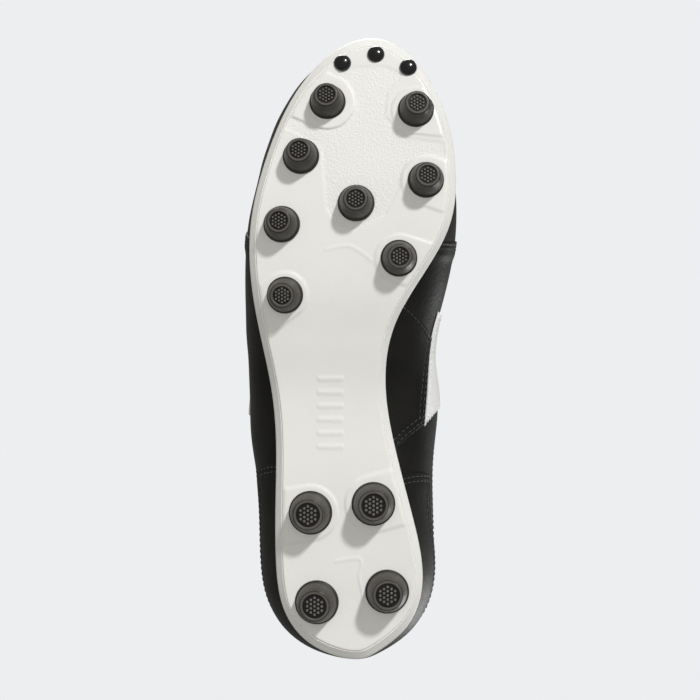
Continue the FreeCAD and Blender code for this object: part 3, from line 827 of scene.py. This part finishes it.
def stud(name, node, x, y, size):
    """Conical stud with a base bead, a shoulder and a cupped tip full of
    small six-sided pips."""
    b, t, h = size["base"], size["tip"], size["height"]
    profile = [(b, 0.6), (b, -0.45), (b - 0.12, -0.85), (b - 0.42, -1.1),
               (b - 0.75, -1.35)]
    for s in np.linspace(0.12, 1, 9):
        r = (b - 0.75) + (t + 0.55 - b + 0.75) * s
        profile.append((r + 0.30 * math.sin(math.pi * s),
                        -1.35 + (-h + 0.9 + 1.35) * s))
    profile += [(t + 0.42, -h + 0.45), (t + 0.15, -h + 0.14), (t - 0.2, -h),
                (t - 0.75, -h + 0.02), (t - 1.0, -h + 0.22),
                (t - 1.1, -h + 0.7), (0.02, -h + 0.75)]
    points, faces = revolve(profile)
    # Painted light per ring: the tip rim is painted lighter as a highlight, the
    # cup's floor darker as shade, and the rest stays at the plain 0.5.
    painted_light = [0.5 + 0.3 * (t - 1.0 <= r <= t) * (z < 0.3 - h)
            - 0.5 * (r < t - 1.0) for r, z in profile]
    painted_light = list(np.repeat(painted_light, points.shape[1]))
    points = list(points.reshape(-1, 3))
    pitch = size["pip"]
    ring = [math.pi / 3 * i for i in range(6)]
    for cx, cy in hexagon_spots(pitch, t - 1.75):
        start = len(points)
        # Each pip's foot is painted dark as shade, and its top light as a
        # highlight.
        for r, z, painted_lightness in ((0.40, 0.8, 0.1), (0.36, 0.24, 0.75),
                           (0.24, 0.06, 1.0)):
            points += [(cx + r * pitch * math.cos(a),
                        cy + r * pitch * math.sin(a), z - h) for a in ring]
            painted_light += [painted_lightness] * 6
        faces += grid_faces(3, 6, start, close=True)
        faces.append([start + 12 + i for i in range(6)])
    obj = build(name, stand_on_sole(points, x, y), faces, M["stud"],
                sharp=35)
    layer = obj.data.attributes.new("painted_light", "FLOAT", "POINT")
    layer.data.foreach_set("value", np.array(painted_light, np.float32))
    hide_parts(node)


def nub(name, node, x, y):
    """Small polished dome on a thin foot ring."""
    profile = [(NUB_RADIUS + 0.05, 0.3), (NUB_RADIUS + 0.05, -0.1)]
    for a in np.linspace(0.06, 0.5 * math.pi, 18):
        profile.append((NUB_RADIUS * math.cos(a),
                        -0.1 - (NUB_HEIGHT - 0.1) * math.sin(a)))
    points, faces = revolve(profile, 48)
    obj = build(name, stand_on_sole(points, x, y), faces, M["gloss"],
                sharp=60)
    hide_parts(node)


def sole():
    plate()
    for i, (x, y) in enumerate(FORE_STUDS):
        stud("fore_stud_%d" % (i + 1), "forefoot_stud_%d" % (i + 1), x, y,
             FORE_STUD)
    for i, (x, y) in enumerate(HEEL_STUDS):
        stud("rear_stud_%d" % (i + 1), "heel_stud_%d" % (i + 1), x, y,
             HEEL_STUD)
    for i, (x, y) in enumerate(TOE_NUBS):
        nub("toe_dome_%d" % (i + 1), "toe_nub_%d" % (i + 1), x, y)


sole()

# ============================ upper =========================================
NEAR_EDGE = np.array([0, 0.1, 0.25, 0.5, 0.9, 1.3, 1.7, 2.1, 2.6, 3.2, 4.0])
CUT_EDGE_ROUND = 0.55     # rounding of a leather piece's edge
STITCH_PITCH = 2.7
STITCH_LENGTH = 2.0
STITCH_RADIUS = 0.20
ROW = 1.7                 # first row of stitches from an edge
SECOND_ROW = 3.9
LEATHER = (-1.4, 0.0)     # depths of a piece's inner and outer face
OVERLAY = (0.2, 1.1)
LINING = (-2.95, -2.3)
SEWN_DEPTH = 1.15         # where stitches lie on an overlay
LAP = 0.26                # stations that the quarters lap over the vamp
LAP_SEWN = (0.15, 0.80)   # shares of the lapped edge that are sewn
SEAM = 0.012
PINK_PITCH = 2.7          # zigzag of the pinked edges
PINK_DEPTH = 1.5
UPPER_TALL = 105.0        # mm from the upper's foot to its topline
STATION_LONG = 12.7       # mm of one station beside the saddle
HOLE_TURNS = 24


def reading(value, at):
    return value(at) if callable(value) else value + 0 * at


def run_length(points):
    """Distance along a path of points, from its start."""
    steps = np.linalg.norm(np.diff(points, axis=0), axis=-1)
    return np.concatenate([[0], np.cumsum(steps)])


def edge_spaced(length, step):
    """Shares 0 to 1 along a side, close together at both ends."""
    near = np.minimum(NEAR_EDGE / length, 0.3 * NEAR_EDGE / NEAR_EDGE[-1])
    middle = np.linspace(near[-1], 1 - near[-1], max(3, int(length / step)))
    return np.concatenate([near[:-1], middle, (1 - near[:-1])[::-1]])


class Piece:
    """A cut piece of the upper between two stations and two heights."""

    def __init__(self, k0, k1, v0, v1):
        self.limits = (k0, k1, v0, v1)

    def place(self, a, b):
        k0, k1, v0, v1 = self.limits
        a, b = np.broadcast_arrays(np.asarray(a, float),
                                   np.asarray(b, float))
        k = reading(k0, b) * (1 - a) + reading(k1, b) * a
        v = reading(v0, k) * (1 - b) + reading(v1, k) * b
        return k, v

    def grid(self, step_along, step_up):
        t = np.linspace(0, 1, 80)
        wide = run_length(upper(*self.place(t, 0.4 + 0 * t)))[-1]
        tall = run_length(upper(*self.place(0.5 + 0 * t, t)))[-1]
        a = edge_spaced(wide, step_along)[None, :]
        b = edge_spaced(tall, step_up)[:, None]
        return self.place(a, b)

    def edge(self, side, inset=0.0, low=0.0, high=1.0):
        """Stations and heights along one edge, or inset from it in mm."""
        t = np.linspace(low, high, 500)
        a, b, sign = {"foot": (t, 0 * t, 1), "top": (t, 0 * t + 1, -1),
                      "rear": (0 * t, t, -1),
                      "front": (0 * t + 1, t, 1)}[side]
        k, v = self.place(a, b)
        return sideways(k, v, inset * sign) if inset else (k, v)


def sideways(k, v, mm):
    """Moves a path on the upper to its left by mm."""
    along, up = slopes(k, v)
    run = unit(np.gradient(upper(k, v), axis=0))
    push = np.cross(unit(np.cross(along, up)), run) * mm
    aa, ab, bb = ((p * q).sum(-1) for p, q in
                  ((along, along), (along, up), (up, up)))
    pa, pb = (push * along).sum(-1), (push * up).sum(-1)
    det = aa * bb - ab * ab
    return k + (pa * bb - pb * ab) / det, v + (pb * aa - pa * ab) / det


def edge_distances(points):
    """How far each grid point is from the piece's four edges, in mm."""
    across = np.linalg.norm(np.diff(points, axis=1), axis=-1)
    across = np.concatenate([0 * across[:, :1], across.cumsum(1)], 1)
    upward = np.linalg.norm(np.diff(points, axis=0), axis=-1)
    upward = np.concatenate([0 * upward[:1], upward.cumsum(0)], 0)
    return {"rear": across, "front": across[:, -1:] - across,
            "foot": upward, "top": upward[-1:] - upward}


def creases(p):
    """Soft unevenness of leather pulled over a foot shape, in mm."""
    x, y, z = np.moveaxis(p, -1, 0)
    long = np.sin(x / 8.3 + 1.1 * np.sin(z / 9.0) + y / 31.0)
    short = np.sin(x / 3.9 + z / 6.7 + 1.3 * np.sin(x / 17.0))
    return 0.16 * long * np.sin(z / 7.9 + x / 40) + 0.07 * short


def leather(name, node, piece, depth, mat, rows=(), lift=None,
            step=1.5, step_up=1.5, wavy=1.0, relief_of=None):
    """A leather or cloth piece with rounded edges, and a groove where each
    row of stitches, given as (edge, inset), holds it down."""
    k, v = piece.grid(step, step_up)
    flat = upper(k, v)
    away = edge_distances(flat)
    nearest = np.min(list(away.values()), axis=0)
    turn = np.clip(1 - nearest / CUT_EDGE_ROUND, 0, 1)
    outer = depth[1] - CUT_EDGE_ROUND * (1 - np.sqrt(1 - turn ** 2))
    for side, inset in rows:
        outer = outer - 0.20 * np.exp(-((away[side] - inset) / 0.5) ** 2)
    inner = np.full(k.shape, depth[0])
    if wavy:
        swell = creases(flat) * wavy * smooth(0, 6, nearest)
        outer, inner = outer + swell, inner + swell
    if lift:
        outer, inner = outer + lift(away), inner + lift(away)
    if relief_of is not None:
        outer = outer + relief_of(k, v)
    inner = np.minimum(inner, outer - 0.15)
    normal = upper_normal(k, v)
    points, faces = shell(flat + normal * outer[..., None],
                          flat + normal * inner[..., None])
    obj = build(name, points, faces, mat, sharp=55)
    if node:
        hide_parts(node)
    return obj


class Stitching:
    """Rows of stitches gathered into one piece."""

    def __init__(self):
        self.points, self.faces, self.count = [], [], 0

    def row(self, k, v, depth):
        path = skin(k, v, np.full(np.shape(k), depth))
        up = upper_normal(k, v)
        s = run_length(path)
        n = max(2, int(s[-1] / STITCH_PITCH))
        middle = (np.arange(n) + 0.5) * s[-1] / n
        along = np.array([-1, -0.86, -0.5, 0, 0.5, 0.86, 1.0])
        size = np.array([0.25, 0.75, 1.0, 1.08, 1.0, 0.75, 0.25])
        sink = np.array([0.34, 0.16, 0.03, 0.0, 0.03, 0.16, 0.34])
        at = middle[:, None] + along * STITCH_LENGTH / 2
        centre = np.stack([np.interp(at, s, path[:, i])
                           for i in range(3)], -1)
        high = unit(np.stack([np.interp(at, s, up[:, i])
                              for i in range(3)], -1))
        run = unit(centre[:, -1:] - centre[:, :1])
        side = unit(np.cross(high, run))
        centre = centre + high * (0.06 - sink)[:, None]
        turn = np.arange(6) * math.pi / 3
        ring = (side[:, :, None] * np.cos(turn)[:, None]
                + high[:, :, None] * np.sin(turn)[:, None])
        points = (centre[:, :, None]
                  + ring * (size * STITCH_RADIUS)[None, :, None, None])
        for i in range(n):
            start = self.count
            self.faces += grid_faces(7, 6, start, close=True)
            self.faces.append([start + j for j in range(5, -1, -1)])
            self.faces.append([start + 36 + j for j in range(6)])
            self.count += 42
        self.points.append(points.reshape(-1, 3))

    def edge(self, piece, side, inset, depth, low=0.0, high=1.0):
        self.row(*piece.edge(side, inset, low, high), depth)

    def edges(self, piece, rows, depth, low, high):
        for side, inset in rows:
            self.edge(piece, side, inset, depth, low, high)

    def done(self, name, mat, slot):
        return build(name, np.concatenate(self.points), self.faces, mat)


def front_seam(b):
    return 8.4 + 3.2 * b ** 1.3


def mirrored(station):
    return lambda b: KEYS - station(b)


def both_sides(station0, station1, v0, v1):
    """The same piece on the outer and on the inner side."""
    return {"lateral": Piece(station0, station1, v0, v1),
            "medial": Piece(mirrored(station1), mirrored(station0), v0, v1)}


QUILT_ROWS = (0.47, 0.59, 0.71)
QUILT_ENDS = (11.2, KEYS - 11.2)


def quilting(k, v):
    """Puffed channels across the toe, held down by their stitches."""
    inside_ends = (smooth(QUILT_ENDS[0] - 0.5, QUILT_ENDS[0] + 0.4, k)
                   * (1 - smooth(QUILT_ENDS[1] - 0.4,
                                 QUILT_ENDS[1] + 0.5, k)))
    dip = sum(np.exp(-((v - row) / 0.014) ** 2) for row in QUILT_ROWS)
    return -0.45 * dip * inside_ends


def saddle(word, pinked):
    """White band that leans forward up to the eyestay. Its long edges may
    zigzag as pinking shears leave them."""
    foot = SADDLE_FOOT[word]
    tall = UPPER_TALL * (EYESTAY_FOOT - foot)

    def edge(station, outwards):
        def at(b):
            v = foot + (EYESTAY_FOOT - foot) * b
            wave = np.abs((b * tall / PINK_PITCH % 1.0) * 2 - 1)
            zigzag = outwards * (wave - 0.5) * PINK_DEPTH / STATION_LONG
            return (station + SADDLE_LEAN * (v - SADDLE_FOOT["medial"])
                    + zigzag * pinked)
        return at

    rear, front = edge(SADDLE[0], -1), edge(SADDLE[1], 1)
    if word == "medial":
        rear, front = mirrored(front), mirrored(rear)
    return Piece(rear, front, foot, EYESTAY_FOOT - 0.01)


def panels():
    """All the outer leather pieces, each with its sewing."""
    black, sewn = Stitching(), Stitching()
    seam = {}

    def overlap(b):
        return front_seam(b) + LAP

    vamp = Piece(lambda b: front_seam(b) + SEAM,
                 mirrored(lambda b: front_seam(b) + SEAM), 0.0, 1.0)
    leather("vamp_leather", "vamp", vamp, LEATHER, M["black"],
            relief_of=quilting, step=1.3)
    for row in QUILT_ROWS:
        k = np.linspace(*QUILT_ENDS, 500)
        black.row(k, np.full(500, row), -0.32)

    for word in ("lateral", "medial"):
        seam[word] = (overlap if word == "lateral" else mirrored(overlap))
        front = "front" if word == "lateral" else "rear"
        if word == "lateral":
            quarter = Piece(SEAM, seam[word], 0.0, 1.0)
        else:
            quarter = Piece(seam[word], KEYS - SEAM, 0.0, 1.0)
        obj = leather("quarter_%s_leather" % word, "quarter_" + word,
                      quarter, LEATHER, M["black"],
                      rows=[(front, ROW), (front, SECOND_ROW)],
                      lift=lambda away, f=front: (
                          (0.25 + 0.55 * smooth(2.0, 14.0, away["foot"]))
                          * (1 - smooth(5.0, 11.0, away[f]))))
        punch(obj, word)
        black.edge(quarter, front, ROW, 0.70, *LAP_SEWN)
        black.edge(quarter, front, SECOND_ROW, 0.68, *LAP_SEWN)

    def tip(b):
        return 11.9 + 0.9 * b

    for word, piece in both_sides(lambda b: 7.15 + 0 * b, tip,
                                  EYESTAY_FOOT, 0.995).items():
        ends = [(s, ROW) for s in ("foot", "rear", "front")]
        obj = leather("eyestay_%s_leather" % word, "eyestay_" + word, piece,
                      OVERLAY, M["black"], step=0.9,
                      rows=ends + [("foot", SECOND_ROW), ("top", ROW)],
                      wavy=0, lift=over_seam(piece))
        punch(obj, word)
        black.edges(piece, [("foot", ROW), ("foot", SECOND_ROW)], 1.2,
                    0.01, 0.99)
        black.edges(piece, [(s, ROW) for s in ("rear", "front", "top")],
                    SEWN_DEPTH, 0.01, 0.99)

    for word in ("lateral", "medial"):
        plain, piece = saddle(word, False), saddle(word, True)
        leather("saddle_%s_leather" % word, "saddle_panel_" + word, piece,
                (0.15, 1.15), M["white"], step=1.2,
                step_up=0.34, rows=[("foot", ROW)], wavy=0.6)
        sewn.edges(plain, [("front", 2.0), ("rear", 2.0), ("foot", ROW)],
                   1.12, 0.03, 0.97)

    arch = Piece(lambda b: 20.55 + 0.10 * b, lambda b: 22.95 - 0.42 * b,
                 0.01, 0.255)
    rows = [("top", ROW), ("top", SECOND_ROW), ("front", ROW),
            ("front", SECOND_ROW), ("rear", ROW)]
    leather("arch_leather", "arch_panel_medial", arch, (0.3, 1.4),
            M["black"], step=1.0, step_up=0.9, rows=rows,
            wavy=0.5)
    black.edges(arch, rows, 1.35, 0.03, 0.97)

    foxing = Piece(-4.7, 4.7, 0.01,
                   lambda k: 0.50 - 0.14 * (np.abs(k) / 4.7) ** 2)
    rows = [(s, i) for s in ("top", "rear", "front")
            for i in (ROW, SECOND_ROW)]
    leather("heel_foxing_leather", "heel_foxing", foxing, OVERLAY,
            M["black"], wavy=0.5, rows=rows)
    black.edges(foxing, rows, SEWN_DEPTH, 0.03, 0.97)
    patch = Piece(-1.15, 1.15, 0.55, 0.985)
    rows = [(s, ROW) for s in ("top", "rear", "front", "foot")]
    leather("heel_patch_leather", "heel_patch", patch, OVERLAY, M["black"],
            step=0.9, step_up=0.9, wavy=0, rows=rows)
    black.edges(patch, rows, SEWN_DEPTH, 0.02, 0.98)
    for k0, k1 in ((1.35, 5.9), (-5.9, -1.35)):
        k = np.linspace(k0, k1, 300)
        black.row(k, np.full(300, 0.66), 0.05)

    black.done("upper_stitching", M["thread"], "black_leather")
    sewn.done("saddle_stitching", M["white_thread"], "white_leather")


def over_seam(piece):
    """Lifts an eyestay where the quarter's lapped edge runs under it."""
    k, v = piece.grid(0.9, 1.5)
    gap = front_seam(v) + LAP - np.minimum(k, KEYS - k)
    raised = 0.6 * smooth(-0.45, 0.1, gap) * (1 - smooth(0.4, 0.95, gap))
    return lambda away: raised


def punch(obj, word):
    """Cuts the eyelet holes of one side through a piece."""
    points, faces = [], []
    for k in EYELETS:
        k = k if word == "lateral" else KEYS - k
        centre, normal = upper(k, EYELET_HEIGHT), upper_normal(
            k, EYELET_HEIGHT)
        side = unit(np.cross(normal, [0, 0, 1.0]))
        high = np.cross(side, normal)
        start = len(points)
        for depth in (-4.0, 4.0):
            for t in np.linspace(0, 2 * math.pi, HOLE_TURNS, False):
                points.append(centre + normal * depth + EYELET_RADIUS
                              * (side * math.cos(t) + high * math.sin(t)))
        faces += grid_faces(2, HOLE_TURNS, start, close=True)
        faces.append([start + j for j in range(HOLE_TURNS - 1, -1, -1)])
        faces.append([start + HOLE_TURNS + j for j in range(HOLE_TURNS)])
    mesh = bpy.data.meshes.new("punch")
    mesh.from_pydata(((np.array(points) - ORIGIN) * MM).tolist(), [], faces)
    cutter = bpy.data.objects.new("punch", mesh)
    bpy.context.scene.collection.objects.link(cutter)
    cut = obj.modifiers.new("holes", "BOOLEAN")
    cut.object = cutter
    cut.solver = "EXACT"
    bake(obj)
    bpy.data.objects.remove(cutter)


def bake(obj):
    """Applies an object's modifiers to its mesh."""
    graph = bpy.context.evaluated_depsgraph_get()
    mesh = bpy.data.meshes.new_from_object(obj.evaluated_get(graph))
    obj.modifiers.clear()
    obj.data = mesh


def linings():
    """Cloth that lines the shoe, between vamp, quarters and heel."""
    end = COLLAR_END

    def behind(b):
        return front_seam(b) - SEAM

    pieces = {
        "vamp_lining": Piece(lambda b: front_seam(b) + SEAM,
                             mirrored(lambda b: front_seam(b) + SEAM),
                             0.0, 0.99),
        "quarter_lining_lateral": Piece(end + 0.05, behind, 0.0, 0.99),
        "quarter_lining_medial": Piece(mirrored(behind), KEYS - end - 0.05,
                                       0.0, 0.99),
        "heel_lining": Piece(-end, end, 0.0, 0.64),
    }
    for name, piece in pieces.items():
        obj = leather(name + "_cloth", name, piece, LINING,
                      M["lining"], step=2.2, step_up=2.0,
                      wavy=0.6)
        if "quarter" in name:
            punch(obj, name.rsplit("_", 1)[1])


def capped(rows, cols):
    """Faces of a closed tube of rows rings, with both its ends filled."""
    last = (rows - 1) * cols
    return grid_faces(rows, cols, close=True) + [
        list(range(cols - 1, -1, -1)), [last + c for c in range(cols)]]


def tube(centre, side, high, ring):
    """Sweeps a ring of (side, high) shares along a row of frames."""
    points = (centre[:, None] + side[:, None] * ring[None, :, :1]
              + high[:, None] * ring[None, :, 1:])
    return points, capped(*points.shape[:2])


def circle(turns, wide=1.0, high=1.0):
    """Ring of shares round a tube; powers under 1 square it off."""
    t = np.linspace(0, 2 * math.pi, turns, endpoint=False)
    return np.stack([np.sign(np.cos(t)) * np.abs(np.cos(t)) ** wide,
                     np.sign(np.sin(t)) * np.abs(np.sin(t)) ** high], -1)


def binding():
    """Folded tape over the leather's top edge round the throat."""
    k = np.linspace(COLLAR_END - 0.25, KEYS - COLLAR_END + 0.25, 420)
    v = np.full(k.shape, 0.997)
    normal = upper_normal(k, v)
    _, up = slopes(k, v)
    fade = smooth(0, 0.35, k - k[0]) * smooth(0, 0.35, k[-1] - k)
    centre = skin(k, v, np.full(k.shape, -1.0))
    points, faces = tube(centre, normal * (0.5 + 1.35 * fade)[:, None],
                         unit(up) * 1.15, circle(12))
    build("topline_binding", points, faces, M["black"])


def collar():
    """Padded roll round the ankle: over the top edge and down inside."""
    k = np.linspace(-COLLAR_END, COLLAR_END, 260)
    section = []
    for t in np.linspace(0.12, 1, 14) * math.pi:
        section.append((1.0, -3.55 + 3.5 * math.cos(t),
                        3.0 * math.sin(t) ** 0.8 if t < math.pi else 0))
    for share in np.linspace(0.06, 1, 16):
        v = 1.0 - 0.37 * share
        swell = math.sin(math.pi * min(1, share * 1.02)) ** 0.7
        section.append((v, -6.6 - 1.9 * swell
                        + 3.6 * smooth(0.72, 1.0, share), 0.0))
    for v in (0.635, 0.70, 0.80, 0.90, 0.97):
        section.append((v, -1.75 if v > 0.64 else -2.6, 0.0))
    section = np.array(section)
    v = section[:, 0][None, :] + 0 * k[:, None]
    kk = k[:, None] + 0 * v
    normal, (_, up) = upper_normal(kk, v), slopes(kk, v)
    ends = smooth(0, 0.55, COLLAR_END - np.abs(k))[:, None]
    wrinkle = 0.09 * np.sin(kk * 3.1 + np.sin(v * 30)) * (v < 0.99)
    depth = -1.75 + (section[:, 1][None, :] + 1.75 + wrinkle) * (
        0.15 + 0.85 * np.sqrt(ends))
    lift = section[:, 2][None, :] * np.sqrt(ends)
    points = (upper(kk, v) + normal * depth[..., None]
              + unit(up) * lift[..., None])
    obj = build("collar_roll", points, capped(*points.shape[:2]), M["lining"])
    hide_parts("collar_padding", "collar_lining")


# ---- inside the shoe --------------------------------------------------------
LINING_FACE = -3.2
BED = 5.55                # height of the board's top over the underside
WEDGE_RISE = 4.2          # extra height of the heel's foam wedge
WEDGE_TOE_END = -12.0
WEDGE_RAMP = 70.0
COVER = (3.75, 4.4)       # the cover's faces, above the board


def inner_edge(k, lift):
    """Point just inside the lining at a height above the plate's top."""
    low, high = np.full(k.shape, -0.1), np.full(k.shape, 0.6)
    for _ in range(26):
        v = (low + high) / 2
        p = skin(k, v, np.full(k.shape, LINING_FACE))
        below = p[:, 2] - plate_top(p[:, 0]) < lift
        low, high = np.where(below, v, low), np.where(below, high, v)
    return p[:, :2]


def footbed():
    """Cloth-topped footbed with a rolled edge and a shallow heel cup."""
    k = np.arange(400) * KEYS / 400
    edge = inner_edge(k, 2.7)
    xs = np.clip(edge[:, 0], -90, 92)
    spine = np.stack([xs, SPINE(xs)], -1)
    reach = np.linalg.norm(spine - edge, axis=-1)
    shares = np.concatenate([[0, 0.004, 0.012, 0.03, 0.06, 0.1],
                             np.linspace(0.15, 1, 18)])

    def layer(lift, rim):
        rows = []
        for s in shares:
            p = edge + (spine - edge) * s
            t = np.clip((WEDGE_TOE_END - p[:, 0]) / WEDGE_RAMP, 0, 1)
            bed = BED + WEDGE_RISE * t * t * (3 - 2 * t)
            inset = s * reach
            cup = 1.2 * t * (1 - smooth(2, 16, inset))
            roll = rim * (1 - np.sqrt(np.clip(
                1 - np.clip(1 - inset / 0.8, 0, 1) ** 2, 0, 1)))
            z = underside(p[:, 0]) + bed + lift + cup - roll
            rows.append(np.column_stack([p, z]))
        return np.stack(rows)

    top, low = layer(COVER[1], 0.6), layer(COVER[0], 0.0)
    count = len(k)
    n = top.shape[0] * count
    faces = (grid_faces(len(shares), count, flip=False, close=True)
             + grid_faces(len(shares), count, n, flip=True, close=True))
    faces += [(c, (c + 1) % count, n + (c + 1) % count, n + c)
              for c in range(count)]
    points = np.concatenate([top.reshape(-1, 3), low.reshape(-1, 3)])
    obj = build("footbed_cover", points, faces, M["lining"],
                sharp=50)
    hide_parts("sockliner_cover")


# ---- tongue and lace --------------------------------------------------------
TONGUE_CHANNELS = (1.4, 2.6, 3.8, 5.0)   # places along TONGUE_PATH
TONGUE_HEM = 7.62
TONGUE_RAIL = 0.86        # share of the half width where the side seams run
TONGUE_CORE = -2.4        # depth that cover and lining bulge away from
TONGUE_ROUND = 2.6        # width of its rolled edge
LIP_HEIGHT = 0.985        # where the lace turns over the eyestay's edge


def tongue_place(s, share, depth):
    """Point on the tongue: s along it, share -1 to 1 across it."""
    p = through(TONGUE_PATH, s)
    run = through(TONGUE_PATH, s + 0.01) - through(TONGUE_PATH, s - 0.01)
    run = unit(run)
    a, b = TONGUE_HALF_WIDTH
    half = (a + (b - a) * s / (len(TONGUE_PATH) - 1.0)
            - 9.0 * np.maximum(0, s - 7.2) ** 2)
    r = TONGUE_ARCH_R
    angle = share * half / r
    rise = (r + depth) * np.cos(angle) - r
    return np.stack([p[..., 0] + run[..., 1] * rise,
                     TONGUE_MIDDLE + (r + depth) * np.sin(angle),
                     p[..., 1] - run[..., 0] * rise], -1)


def tongue_seams(s, share):
    """Sewn channels that hold the tongue's padding."""
    dip = sum(np.exp(-((s - at) / 0.07) ** 2) for at in TONGUE_CHANNELS)
    across = np.abs(share)
    between = across < TONGUE_RAIL
    rail = np.exp(-((across - TONGUE_RAIL) / 0.025) ** 2)
    top = np.exp(-((s - TONGUE_HEM) / 0.05) ** 2) * between
    return 0.9 * dip * between + 0.8 * rail + 0.7 * top


def tongue():
    """Padded tongue, sewn in channels."""
    s = np.concatenate([[0, 0.01, 0.03], np.linspace(0.06, 7.94, 230),
                        [7.97, 7.99, 8.0]])[:, None]
    share = np.concatenate([[-1, -0.995, -0.98],
                            np.linspace(-0.96, 0.96, 90),
                            [0.98, 0.995, 1]])[None, :]
    s, share = np.broadcast_arrays(s, share)
    rim = np.minimum((1 - np.abs(share)) * 27.0,
                     np.minimum(s * 13.0, (8 - s) * 15.0))
    turn = np.clip(1 - rim / TONGUE_ROUND, 0, 1)
    full = np.sqrt(np.clip(1 - turn ** 2, 0, 1))
    outer = TONGUE_CORE + 2.35 * full - tongue_seams(s, share)
    inner = TONGUE_CORE - 1.75 * full
    points, faces = shell(tongue_place(s, share, outer),
                          tongue_place(s, share, inner))
    cover = build("tongue_leather", points, faces, M["black"],
                  body=None)
    s, share, inner = (grid[4:-4, 4:-4] for grid in (s, share, inner))
    cloth, cloth_faces = shell(tongue_place(s, share, inner - 0.10),
                               tongue_place(s, share, inner - 0.75))
    lining = build("tongue_cloth", cloth, cloth_faces, M["lining"],
                   body=None)
    for obj in (cover, lining):
        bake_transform(obj)
    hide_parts("tongue", "tongue_padding", "tongue_flap",
                "tongue_flap_padding")
    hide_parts("tongue_lining", "tongue_flap_lining")


def eyelet(side, i, depth=0.0):
    k = EYELETS[i] if side < 0 else KEYS - EYELETS[i]
    normal = upper_normal(k, EYELET_HEIGHT)
    return upper(k, EYELET_HEIGHT) + normal * depth, normal


def lace_keys():
    """The lace's path from pair to pair, as the frame threads it: over the
    tongue, down an eyelet, along under the eyestay and up the next one."""
    keys = []
    along = np.array([1, 0, -0.45])
    last = len(EYELETS) - 1
    wide, flat, round_ = LACE_WIDE, LACE_FLAT, LACE_ROUND

    def add(point, width, size):
        keys.append(np.concatenate([point, unit(width), size]))

    def end(i, share):
        return skin(EYELETS[i], EYELET_HEIGHT - share, -LACE_SINK)

    def lip(side, i):
        k = EYELETS[i] if side < 0 else KEYS - EYELETS[i]
        return skin(k, LIP_HEIGHT, LACE_RISE)

    def hole(side, i, other, going_down):
        p, n = eyelet(side, i)
        run = unit(other - p)
        across = np.cross(n, run)
        across = across * np.sign(across[1])
        twist = along if abs(run[0]) < 0.5 else across
        stops = [(p - n * LACE_SINK + run * 2.2, twist, flat),
                 (p - n * (LACE_SINK - 1.8), twist + along, round_),
                 (p - n * 0.3, along, round_),
                 (p + n * LACE_RISE + unit(lip(side, i) - p) * 1.6, along,
                  round_),
                 (lip(side, i), along, flat)]
        for stop in (stops[::-1] if going_down else stops):
            add(*stop)

    def beyond(side, i, step):
        if 0 <= i + step <= last:
            return eyelet(side, i + step)[0]
        return end(i, 0.16)

    add(end(0, 0.16), along, flat)
    add(end(0, 0.08), along, flat)
    side = -1
    for i in range(last + 1):
        hole(side, i, beyond(side, i, -1), False)
        middle = (keys[-1][:3] + lip(-side, i)) / 2
        add(middle + np.array([0.2, 0, 0.4]), along, wide)
        side = -side
        hole(side, i, beyond(side, i, 1), True)
    add(end(last, 0.08), along, flat)
    add(end(last, 0.16), along, flat)
    return keys


def lace():
    """Flat braided lace with soft rounded edges."""
    keys = lace_keys()
    s = np.linspace(0, len(keys) - 1.0, (len(keys) - 1) * 9 + 1)
    at = through(keys, s)
    run = unit(through(keys, np.minimum(s + 0.02, len(keys) - 1))[:, :3]
               - through(keys, np.maximum(s - 0.02, 0))[:, :3])
    wide = at[:, 3:6]
    wide = unit(wide - run * (wide * run).sum(-1, keepdims=True))
    high = np.cross(run, wide)
    ring = circle(16, 0.75, 0.55)
    points, faces = tube(at[:, :3], wide * at[:, 6:7] / 2,
                         high * at[:, 7:8] / 2, ring)
    obj = build("flat_lace", points, faces, M["lace"])
    length = run_length(at[:, :3])
    layer = obj.data.uv_layers.new(name="along")
    for loop in obj.data.loops:
        row, col = divmod(loop.vertex_index, len(ring))
        layer.data[loop.index].uv = (length[row] * MM, ring[col, 0]
                                     * at[row, 6] / 2 * MM)
    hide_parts("lace")


panels()
linings()
binding()
collar()
footbed()
tongue()
lace()


CAD_FINISH = {"black_leather": "black", "white_leather": "white",
              "white_plastic": "plate", "black_stud_plastic": "stud",
              "black_gloss_plastic": "gloss", "spring_steel": "steel",
              "fibre_board": "board", "foam": "foam",
              "lining_cloth": "lining", "lace_cotton": "lace"}


def dress_frame():
    """Gives every carried-over solid its finished material."""
    for part in frame["record"]["subparts"]:
        obj = frame["nodes"][part["node"]]
        finish = M[CAD_FINISH[part["material_slot"]]]
        for place in obj.material_slots:
            place.material = finish


dress_frame()
